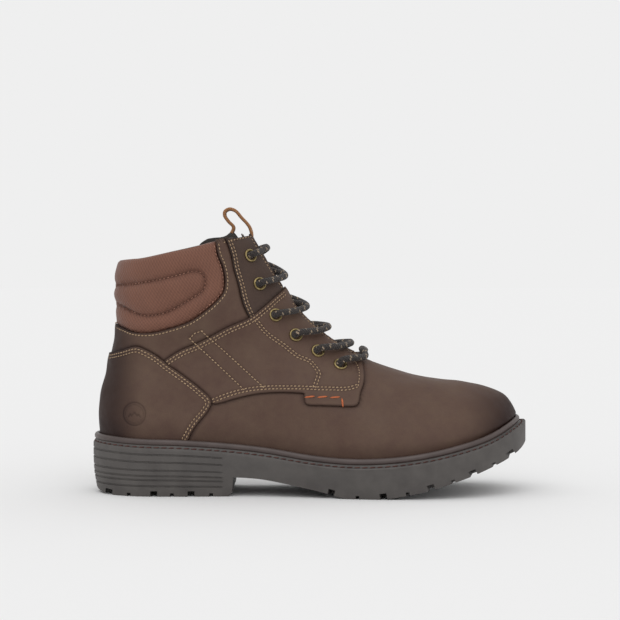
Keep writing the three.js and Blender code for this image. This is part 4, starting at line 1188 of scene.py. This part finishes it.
def buildTongue():
    domain, faces = triangulate(tongueOutline, tongue["spacing"])
    turn, t = domain.T
    near = distanceTo(domain, tongueOutline)
    share = np.clip(near / tongue["reach"], 0, 1)
    crown = np.sqrt(1 - (1 - share) ** 2)
    middle = (tongue["face"] + tongue["back"]) / 2
    front = middle + 0.6 + crown * (tongue["face"] - middle - 0.6)
    back = middle - 0.6 + crown * (tongue["back"] - middle + 0.6)
    flatMap = flatPattern(turn, t, 0.8)
    outside, inside = layerPoint(turn, t, front), layerPoint(turn, t, back)
    half = len(domain)
    allFaces = shellFaces(faces, half)
    piece = makePiece("tongueFace", np.vstack([outside, inside]), allFaces, "blackMesh", "tongue",
                      ["tongue_face", "tongue_padding", "tongue_lining"],
                      flat=np.vstack([flatMap, flatMap]), marks={"shade": np.zeros(2 * half)})
    piece.data.materials.append(finishes["brushedLining"])
    for face in piece.data.polygons:
        if face.vertices[0] >= half and face.vertices[1] >= half and face.vertices[2] >= half:
            face.material_index = 1
    return piece


tonguePiece = buildTongue()
print("tongue made")

# pull loop: tape folded over and sewn into the tongue
loop = {"width": 12.0, "thick": 2.3,
        "line": [[-60.5, 174], [-58, 181], [-54.9, 188], [-58.6, 192.4], [-61.2, 196.4],
                 [-61, 199.4], [-57.8, 201.2], [-53.6, 199.9], [-49.2, 195], [-45.4, 191],
                 [-43.2, 187.7], [-42, 182.7], [-43, 176]]}


def strip(name, path, width, thick, finish, body, replaced=()):
    # a flat tape seen edge-on in the side view, with rounded edges
    path = smoothLine(path, 0.7)
    tangent = np.gradient(path, axis=0)
    tangent /= np.linalg.norm(tangent, axis=1, keepdims=True)
    across = np.stack([-tangent[:, 1], tangent[:, 0]], axis=1)
    lengths = np.concatenate([[0], np.cumsum(np.linalg.norm(np.diff(path, axis=0), axis=1))])
    section = []
    steps = 9
    for k in range(steps):
        section.append((width * (k / (steps - 1) - 0.5), 0.5 * thick
                        * (0.55 if k in (0, steps - 1) else 1.0)))
    section += [(y, -n) for y, n in section[::-1]]
    count, size = len(path), len(section)
    points = [[path[i, 0] + across[i, 0] * n, y, path[i, 1] + across[i, 1] * n]
              for i in range(count) for y, n in section]
    flat = [[lengths[i], y + n * 3] for i in range(count) for y, n in section]
    faces = [(i * size + k, i * size + (k + 1) % size, (i + 1) * size + (k + 1) % size,
              (i + 1) * size + k) for i in range(count - 1) for k in range(size)]
    faces += [tuple(range(size))[::-1], tuple((count - 1) * size + k for k in range(size))]
    piece = makePiece(name, points, faces, finish, body, replaced, flat=flat,
                      marks={"shade": np.zeros(len(points))})
    work = bmesh.new()
    work.from_mesh(piece.data)
    bmesh.ops.recalc_face_normals(work, faces=work.faces)
    work.to_mesh(piece.data)
    work.free()
    return piece


strip("pullLoop", loop["line"], loop["width"], loop["thick"], "tanWebbing", "tongue",
      ["pull_loop"])
print("pull loop made")

# outsole
sole = {"ledgeHeel": 4.5, "ledgeToe": 8.0, "around": 420, "grooves": [0.925, 0.76, 0.582, 0.459,
        0.366, 0.233], "grooveDepth": 0.75, "grooveHalf": 0.42, "heelEnd": -60.5,
        "insets": [[-4, 4.4], [0, 3.2], [6, 2.0], [14, 0.6], [24, 0], [70, 0]],
        "bottom": [[-158, 8], [-150, 2.5], [-145, 0.8], [-140, 0], [-57, 0], [-54.6, 3], [-53.5, 13.6],
                   [-45, 13.2], [-33, 12.2], [-15, 9], [7, 4.4], [19, 1.2], [25, 0], [46, 0],
                   [64, 2.4], [80, 5.8], [97, 10.8], [110, 15], [126, 21], [139, 26.5], [149, 32],
                   [158, 40]]}


def ledgeAt(turn):
    share = (1 - np.cos(turn)) / 2
    return sole["ledgeHeel"] + (sole["ledgeToe"] - sole["ledgeHeel"]) * share


def soleRing(turn, out):
    base = lastPoint(turn, np.zeros(len(turn)))
    normal = normalAt(turn, np.zeros(len(turn))) * [1, 1, 0]
    normal /= np.linalg.norm(normal, axis=1, keepdims=True)
    return base + normal * np.asarray(out)[:, None]


def buildOutsole():
    turn = np.linspace(0, math.tau, sole["around"], endpoint=False)
    ledge = ledgeAt(turn)
    rings = []

    def addRing(out, drop=None, share=None, groove=0.0):
        ring = soleRing(turn, out)
        feather = featherAt(ring[:, 0])
        if share is None:
            ring[:, 2] = feather - drop
        else:
            wall = feather - 8.2
            z = wall * share
            inset = np.interp(z, *np.array(sole["insets"]).T)
            heel = smooth((sole["heelEnd"] - ring[:, 0]) / 1.6)
            ring = soleRing(turn, out - inset - groove * heel)
            ring[:, 2] = z
        rings.append(ring)

    addRing(np.full(len(turn), -8.6), drop=7.3)
    addRing(np.full(len(turn), -8.6), drop=4.4)
    addRing(np.full(len(turn), 3.0), drop=4.2)
    addRing(np.full(len(turn), 3.3) + 0.15 * (ledge - 4.5), drop=5.4)
    addRing(ledge - 1.5, drop=6.5)
    addRing(ledge - 0.95, drop=6.0)
    addRing(ledge - 0.4, drop=6.15)
    addRing(ledge, drop=7.0)
    levels = [(1.0, 0.0)]
    half = sole["grooveHalf"] / 29
    for share in sole["grooves"]:
        levels += [(share + half * 1.5, 0.0), (share + half * 0.8, sole["grooveDepth"]),
                   (share - half * 0.8, sole["grooveDepth"]), (share - half * 1.5, 0.0)]
    levels += [(0.12, 0.0), (0.0, 0.0), (-0.12, 0.0)]
    for share, groove in levels:
        addRing(ledge, share=share, groove=groove)
    count = len(turn)
    faces = []
    for r in range(len(rings) - 1):
        for i in range(count):
            j = (i + 1) % count
            a, b = r * count + i, r * count + j
            faces.append((a, a + count, b + count, b))
    lastRing = (len(rings) - 1) * count
    for base, flip in ((0, False), (lastRing, True)):
        for i in range(count // 2):
            j, p, q = i + 1, (count - i) % count, (count - i - 1) % count
            quad = [base + i, base + j, base + q, base + p]
            quad = list(dict.fromkeys(quad))
            if len(quad) > 2:
                faces.append(tuple(quad if not flip else quad[::-1]))
    piece = makePiece("outsoleRubber", np.vstack(rings), faces, "mouldedRubber", "boot",
                      ["outsole"])
    work = bmesh.new()
    work.from_mesh(piece.data)
    bmesh.ops.remove_doubles(work, verts=work.verts, dist=1e-6)
    bmesh.ops.recalc_face_normals(work, faces=work.faces)
    bmesh.ops.triangulate(work, faces=work.faces)
    work.to_mesh(piece.data)
    work.free()
    return piece


def cutterObject(name, points, faces):
    mesh = bpy.data.meshes.new(name)
    mesh.from_pydata(((np.asarray(points, float) + shift) / 1000).tolist(), [], faces)
    work = bmesh.new()
    work.from_mesh(mesh)
    bmesh.ops.recalc_face_normals(work, faces=work.faces)
    bmesh.ops.triangulate(work, faces=work.faces)
    work.to_mesh(mesh)
    work.free()
    cutter = bpy.data.objects.new(name, mesh)
    bpy.context.collection.objects.link(cutter)
    return cutter


def cutWith(piece, cutter, operation):
    modifier = piece.modifiers.new("cut", "BOOLEAN")
    modifier.object = cutter
    modifier.operation = operation
    modifier.solver = "MANIFOLD"
    graph = bpy.context.evaluated_depsgraph_get()
    made = bpy.data.meshes.new_from_object(piece.evaluated_get(graph))
    piece.modifiers.remove(modifier)
    old = piece.data
    piece.data = made
    bpy.data.meshes.remove(old)
    bpy.data.objects.remove(cutter)
    return len(made.polygons)


def groundAt(x):
    bottom = np.array([p for p in sole["bottom"] if not -56 < p[0] < -34])
    return np.interp(x, bottom[:, 0], bottom[:, 1])


outsole = buildOutsole()
profile = smoothLine(sole["bottom"][:4], 2)[:-1].tolist() + sole["bottom"][3:7] \
    + smoothLine(sole["bottom"][7:], 3).tolist() + [[190, 60], [190, 120], [-190, 120], [-190, 12]]
count = len(profile)
prismPoints = [[x, y, z] for y in (-90, 90) for x, z in profile]
prismFaces = [tuple(range(count)), tuple(range(count, 2 * count))[::-1]]
prismFaces += [(i, (i + 1) % count, (i + 1) % count + count, i + count) for i in range(count)]
print("sole cut:", cutWith(outsole, cutterObject("profile", prismPoints, prismFaces), "INTERSECT"))

# grooves of the tread: wide and narrow ones in turn along both edges, and a zigzag between
tread = {"wide": [-141, -108.5, -82.7, 14, 50, 83, 112.5, 141], "narrow": [-126, -95.8, -68.6, 32,
         66.5, 98, 127.5], "wideSize": (4.8, 26, 3.9), "narrowSize": (2.6, 17, 2.4), "lean": 0.22,
         "middleGap": 15.5, "middleSize": (4.0, 30, 3.6)}


def wedge(group, given):
    cube = addNode(group, "GeometryNodeMeshCube", {"Vertices X": 2, "Vertices Y": 2,
                   "Vertices Z": 2})
    size = addNode(group, "ShaderNodeCombineXYZ", {0: given.outputs["Width"],
                   1: given.outputs["Length"], 2: given.outputs["Depth"]})
    group.links.new(size.outputs[0], cube.inputs["Size"])
    return cube.outputs["Mesh"]


wedgeGroup = makeGroup("treadGroove", wedge, ("Width", "Length", "Depth"), False)


def cutTread(name, places, size):
    points, along, lie = [], [], []
    for x, y, angle in places:
        slope = (groundAt(x + 2) - groundAt(x - 2)) / 4
        points.append([x, y, groundAt(x)])
        along.append([math.cos(angle), math.sin(angle), slope])
        lie.append([-slope, 0, 1])
    width, length, depth = (value / 1000 for value in size)
    cutter = runGroup(name, wedgeGroup, points, [], {"along": along, "lie": lie},
                      {"Width": width, "Length": length, "Depth": depth * 2}, "mouldedRubber")
    return cutWith(outsole, cutter, "DIFFERENCE")


def edgePlaces(xs, inset, lean):
    result = []
    for x in xs:
        for side in (-1, 1):
            low, high = -150.5 - sole["ledgeHeel"], 146.5 + sole["ledgeToe"]
            turn = math.acos(1 - 2 * (x - low) / (high - low))
            turn = turn if side < 0 else math.tau - turn
            point = soleRing(np.array([turn]), [ledgeAt(turn) - inset])[0]
            result.append((x, point[1], side * lean * (1 if x > 0 else -0.7)))
    return result


cutTread("wideGrooves", edgePlaces(tread["wide"], 2, tread["lean"]), tread["wideSize"])
cutTread("narrowGrooves", edgePlaces(tread["narrow"], 1, tread["lean"]), tread["narrowSize"])
middle = [(x, 4 * (x + 20 > 0) * ((x + 20) / 167) ** 2, 0.5 * (-1) ** k) for k, x in
          enumerate(np.arange(22, 128, tread["middleGap"]))]
middle += [(x, 0, 0.5 * (-1) ** k) for k, x in enumerate(np.arange(-132, -62, tread["middleGap"]))]
print("tread cut:", cutTread("middleGrooves", middle, tread["middleSize"]))
outsole.data.polygons.foreach_set("use_smooth", [True] * len(outsole.data.polygons))
outsole.data.set_sharp_from_angle(angle=math.radians(28))
outsole.data.materials.clear()
outsole.data.materials.append(finishes["mouldedRubber"])

# welt: a rounded rubber bead round the feather line
welt = {"out": 1.75, "drop": 2.15, "wide": 1.95, "tall": 2.3}
weltTurn = np.linspace(0, math.tau, 360, endpoint=False)
weltLine = soleRing(weltTurn, np.full(360, welt["out"]))
weltLine[:, 2] = featherAt(weltLine[:, 0]) - welt["drop"]
tube("weltBead", weltLine, 1.0, "extrudedRubber", "boot", ["storm_welt"], sides=14,
     closed=True, squash=(welt["wide"], welt["tall"]), up=np.tile([0.0, 0.0, 1.0], (360, 1)))
print("sole and welt made")

# sewing
thread = {"Pitch": 2.6, "Length": 2.15, "Width": 0.82, "Height": 0.62}


def stitchUnit(group, given):
    ball = addNode(group, "GeometryNodeMeshUVSphere", {"Segments": 6, "Rings": 5, "Radius": 0.5})
    size = addNode(group, "ShaderNodeCombineXYZ", {0: given.outputs["Length"],
                   1: given.outputs["Width"], 2: given.outputs["Height"]})
    shaped = addNode(group, "GeometryNodeTransform", {"Geometry": ball.outputs["Mesh"],
                     "Rotation": (0, 0, 0.12), "Scale": size.outputs[0]})
    return shaped.outputs["Geometry"]


stitchGroup = makeGroup("stitches", stitchUnit, ("Pitch", "Length", "Width", "Height"), True)


def sewRows(name, rows, finish, sizes=None, lifted=0.12, body="boot"):
    # rows are lists of points in space with the way the surface faces there
    points, edges, lie = [], [], []
    for places, facing in rows:
        start = len(points)
        points += list(places)
        lie += list(facing)
        edges += [(start + i, start + i + 1) for i in range(len(places) - 1)]
    points = np.array(points) + np.array(lie) * lifted
    sizes = {key: value / 1000 for key, value in (sizes or thread).items()}
    piece = runGroup(name, stitchGroup, points, edges, {"lie": lie}, sizes, finish)
    return finishPiece(piece, finish, body)


def rowOn(panel, path, fold=1.1):
    height = panelHeight(panel, path)[0]
    height += np.array([noise.noise(Vector(p / 11)) for p in lastPoint(path[:, 0], path[:, 1])]) * 0.28
    return foldIn(path[:, 0], path[:, 1], height, fold), normalAt(path[:, 0], path[:, 1])


rowSets = {"counter": (counterPanel, counterRows), "quarter": (quarterPanel, quarterPanel["rows"]),
           "facing": (facingPanel, facingPanel["rows"]), "ankle": (anklePanel, anklePanel["rows"])}
beigeRows = []
for panel, rows in rowSets.values():
    for axis in (None, axisBack):
        usedPanel = panel if axis is None else flipPanel(panel, axis)
        if axis is not None:
            usedPanel = dict(usedPanel, under=[flipLine(path, axis) for path in panel["under"]])
        for row in rows:
            path = row if axis is None else flipLine(row, axis)
            if len(path) > 3:
                beigeRows.append(rowOn(usedPanel, path))
sewRows("beigeStitches", beigeRows, "beigeThread")


def rowOnCollar(path, lifted=0.0):
    return (layerPoint(path[:, 0], path[:, 1], -collar["valley"] + 0.8 + lifted),
            normalAt(path[:, 0], path[:, 1]))


quiltRows = [rowOnCollar(quiltLine), rowOnCollar(flipLine(quiltLine, axisBack))]
sewRows("quiltStitches", quiltRows, "maroonThread",
        {"Pitch": 2.9, "Length": 2.1, "Width": 0.75, "Height": 0.6})
padInner = offsetLine(padLine, -1.5)
padInner = padInner[belowEdge(padInner) > 3]
padInner = padInner[lastPoint(padInner[:, 0], padInner[:, 1])[:, 2] > 128]
padRows = [rowOnCollar(padInner, 1.6), rowOnCollar(flipLine(padInner, axisBack), 1.6)]
sewRows("padStitches", padRows, "maroonThread",
        {"Pitch": 2.7, "Length": 2.1, "Width": 0.75, "Height": 0.6})
soleTurn = np.linspace(0, math.tau, 500)
solePath = soleRing(soleTurn, (3.3 + 0.15 * (ledgeAt(soleTurn) - 4.5) + ledgeAt(soleTurn) - 1.5) / 2)
solePath[:, 2] = featherAt(solePath[:, 0]) - 5.75
soleFacing = normalAt(soleTurn, np.zeros(500)) * [1, 1, 0] + [0, 0, 0.8]
sewRows("soleStitches", [(solePath, soleFacing)], "russetThread",
        {"Pitch": 5.2, "Length": 4.4, "Width": 1.1, "Height": 0.9}, lifted=0.2)
barRows = []
for axis in (None, axisToe):
    for path in (line["barTack"], line["barEnd"]):
        path = path if axis is None else flipLine(path, axis)
        used = quarterPanel if axis is None else flipPanel(quarterPanel, axis)
        barRows.append(rowOn(dict(used, under=[]), path))
barSizes = {"Pitch": 8.7, "Length": 8.2, "Width": 1.35, "Height": 0.8}
longRows = []
for places, facing in (barRows[0], barRows[2]):
    steps = np.linalg.norm(np.diff(places, axis=0), axis=1)
    toEnd = np.append(np.cumsum(steps[::-1])[::-1], 0)
    centres = np.linspace(2 * barSizes["Pitch"] + 4.65, 4.6, 40)
    places = np.stack([np.interp(-centres, -toEnd, places[:, k]) for k in range(3)], axis=1)
    facing = np.stack([np.interp(-centres, -toEnd, facing[:, k]) for k in range(3)], axis=1)
    longRows.append((places, facing))
sewRows("barTacks", longRows, "orangeThread", barSizes, lifted=0.2)
endRows = []
for places, facing in (barRows[1], barRows[3]):
    middleIndex = len(places) // 2
    endRows.append((places[middleIndex - 1:middleIndex + 2], facing[middleIndex - 1:middleIndex + 2]))
sewRows("barTackEnds", endRows, "orangeThread",
        {"Pitch": 5.0, "Length": 5.6, "Width": 1.35, "Height": 0.8}, lifted=0.2)
print("sewing done,", len(beigeRows), "rows")

# eyelets
eyelet = {"places": [[-42.2, 167.6], [-35.6, 147.8], [-24.4, 125.9], [-10.2, 111.9], [5.3, 100.7],
                     [21, 91.4]],
          "Ring": 3.95, "Bead": 0.95, "Barrel": 3.15, "Depth": 6.0}


def eyeletUnit(group, given):
    circle = addNode(group, "GeometryNodeCurvePrimitiveCircle", {"Resolution": 28,
                     "Radius": given.outputs["Ring"]})
    section = addNode(group, "GeometryNodeCurvePrimitiveCircle", {"Resolution": 10,
                      "Radius": given.outputs["Bead"]})
    ring = addNode(group, "GeometryNodeCurveToMesh", {"Curve": circle.outputs["Curve"],
                   "Profile Curve": section.outputs["Curve"]})
    barrel = addNode(group, "GeometryNodeMeshCylinder", {"Vertices": 24,
                     "Radius": given.outputs["Barrel"], "Depth": given.outputs["Depth"]},
                     fill_type="NONE")
    down = addNode(group, "ShaderNodeMath", {0: given.outputs["Depth"], 1: -0.5},
                   operation="MULTIPLY")
    drop = addNode(group, "ShaderNodeCombineXYZ", {2: down.outputs[0]})
    placed = addNode(group, "GeometryNodeTransform", {"Geometry": barrel.outputs["Mesh"],
                     "Translation": drop.outputs[0]})
    both = addNode(group, "GeometryNodeJoinGeometry")
    group.links.new(ring.outputs[0], both.inputs[0])
    group.links.new(placed.outputs[0], both.inputs[0])
    return both.outputs[0]


eyeletGroup = makeGroup("eyelets", eyeletUnit, ("Ring", "Bead", "Barrel", "Depth"), False)
eyeletLine = findOnLast(eyelet["places"])
eyeletLine = np.vstack([eyeletLine, flipLine(eyeletLine, axisToe)])
eyeletPoints = layerPoint(eyeletLine[:, 0], eyeletLine[:, 1], 0.35)
eyeletFacing = normalAt(eyeletLine[:, 0], eyeletLine[:, 1])
eyeletPiece = runGroup("eyeletRings", eyeletGroup, eyeletPoints, [],
                       {"lie": eyeletFacing, "along": np.tile([1.0, 0.0, 0.0], (12, 1))},
                       {key: eyelet[key] / 1000 for key in ("Ring", "Bead", "Barrel", "Depth")},
                       "antiqueBrass")
finishPiece(eyeletPiece, "antiqueBrass", "boot",
            ["eyelet_%s_%d" % (sideName, k) for sideName in ("lateral", "medial")
             for k in range(1, 7)])
print("eyelets made")

# lace
lace = {"diameter": 4.6, "step": 1.3, "over": 4.3, "under": -6.9, "underFacing": -7.4,
        "overEdge": 5.2, "besideEdge": 4.7, "lower": -9.3, "upper": -4.6, "ridgeLift": 0.02,
        "barLift": 0.05,
        "tail": [[-50, 176, -8.2], [-60, 174, -8.8], [-71, 164, -9.2], [-78, 148, -9.4],
                 [-80, 128, -9.8], [-78, 108, -10], [-70, 94, -10.4], [-58, 92, -11],
                 [-52, 104, -11], [-58, 118, -10.6]]}
laceLevels = eyeletLine[:len(eyelet["places"]), 1]


def onSide(side, turn, t, height):
    return layerPoint(turn if side < 0 else math.tau - turn, t, height)[0]


def besideEdge(side, t, aside, height):
    # place beside the edge of one facing: aside is counted outwards from the edge
    low, high = math.pi / 2, math.pi
    throatTop = lastRows["throatZ"] + lastRows["throatHalf"]
    for halving in range(30):
        turn = (low + high) / 2
        point = lastPoint(np.array([turn]), np.array([t]))[0]
        rise = (point[2] - throatTop) / (lastRows["slotTop"] - throatTop)
        edge = lastRows["throatHalf"] + (lastRows["topOpening"] - lastRows["throatHalf"]) * rise
        if -point[1] > edge + aside:
            low = turn
        else:
            high = turn
    return onSide(side, low, t, height)


def crossOver(side, start, end, middleHeight):
    # from the top of one eyelet over its edge, across the opening and under the other edge
    def levelAt(share):
        return start + (end - start) * share
    return [besideEdge(side, levelAt(0.06), 7.5, lace["besideEdge"]),
            besideEdge(side, levelAt(0.16), -1.3, lace["overEdge"]),
            onSide(side, math.pi, levelAt(0.5) + lace["ridgeLift"], middleHeight),
            besideEdge(-side, levelAt(0.7), -1.4, lace["underFacing"])]


def strandPlaces(side):
    # from the lowest eyelet up to the top one, then in over the edge and down along the lining
    def through(row):
        turn, t = eyeletLine[row]
        return [onSide(side, turn, t, lace["under"]), onSide(side, turn, t, lace["over"])]
    places = through(5)[::-1]
    places.append(onSide(side, math.pi, laceLevels[5] + 0.05,
                         lace["lower"] + 3.7 if side < 0 else lace["upper"] + 3.4))
    for row in (4, 3, 2, 1, 0):
        side = -side
        if row < 4:
            places += crossOver(-side, laceLevels[row + 1], laceLevels[row],
                                lace["upper"] if side < 0 else lace["lower"])
        places += through(row)
    top = laceLevels[0]
    places += [besideEdge(side, top + 0.005, 5, lace["besideEdge"]),
               besideEdge(side, top + 0.01, 0.4, lace["overEdge"]),
               besideEdge(side, top + 0.015, -4.6, 0.5),
               besideEdge(side, top + 0.02, -3.4, lace["underFacing"])]
    tail = np.array(lace["tail"])
    for (turn, t), depth in zip(findOnLast(tail[:, :2]), tail[:, 2]):
        places.append(onSide(side, turn, t, depth))
    return places


def barPlaces():
    # the bar over the throat, between the two lowest eyelets
    level = laceLevels[5]
    half = [besideEdge(side, level + lace["barLift"] * share, aside, height)
            for side in (1, -1)
            for share, aside, height in ((0.4, 7.5, lace["besideEdge"]), (1, 0.4, lace["overEdge"]))]
    middle = onSide(1, math.pi, level + lace["barLift"], lace["besideEdge"])
    return [half[0], half[1], middle, half[3], half[2]]


# places to a hundredth of a millimetre
laceRoute = np.round(np.array(strandPlaces(1)[::-1] + barPlaces() + strandPlaces(-1)) + shift, 2)
laceLine = smoothLine(laceRoute, lace["step"])
laceTube = tube("laceBraid", laceLine, lace["diameter"] / 2, "braidedLace", "boot",
                ["lace"], sides=12, shifted=False)

# finishes of the nodes that stay
kept = {"insole_board": "pressedFibreBoard", "shank": "rolledSteel", "bottom_filler": "openCellFoam",
        "footbed_foam": "openCellFoam", "footbed_cover": "needledFelt",
        "toe_puff": "mouldedPlastic", "heel_stiffener": "mouldedPlastic", "insulation": "feltDarkAsShade",
        "eyestay_backing_lateral": "feltDarkAsShade", "eyestay_backing_medial": "feltDarkAsShade",
        "aglet_medial": "polishedPlastic", "aglet_lateral": "polishedPlastic"}
for name, finish in kept.items():
    node = bpy.data.objects[name]
    for place in node.material_slots:
        place.material = finishes[finish]
print("kept nodes finished,", len(kept))

# floor and light
# A dome and a wide soft sun, so that the pale floor reads the same all over.
studio = {"dome": "efefef", "domeStrength": 1.0, "floor": "ececec", "sun": 0.7, "sunWidth": 60,
          "sunTurn": (38, -14, 12)}
world = bpy.data.worlds.new("studio")
world.use_nodes = True
world.node_tree.nodes.clear()
dome = addNode(world.node_tree, "ShaderNodeBackground", {"Color": hexColour(studio["dome"]),
               "Strength": studio["domeStrength"]})
addNode(world.node_tree, "ShaderNodeOutputWorld", {"Surface": dome.outputs[0]})
bpy.context.scene.world = world
sunData = bpy.data.lights.new("sun", "SUN")
sunData.energy = studio["sun"]
sunData.angle = math.radians(studio["sunWidth"])
sun = bpy.data.objects.new("sun", sunData)
sun.rotation_euler = [math.radians(value) for value in studio["sunTurn"]]
bpy.context.collection.objects.link(sun)
floorMesh = bpy.data.meshes.new("floor")
floorMesh.from_pydata([(-30, -30, 0), (30, -30, 0), (30, 30, 0), (-30, 30, 0)], [], [(0, 1, 2, 3)])
floor = bpy.data.objects.new("floor", floorMesh)
bpy.context.collection.objects.link(floor)
floorFinish, _, floorShader = newMaterial("paintedFloor")
floorShader.inputs["Base Color"].default_value = hexColour(studio["floor"])
floorShader.inputs["Roughness"].default_value = 0.9
floorShader.inputs["Specular IOR Level"].default_value = 0.0
floorMesh.materials.append(floorFinish)
print("lights and floor set")
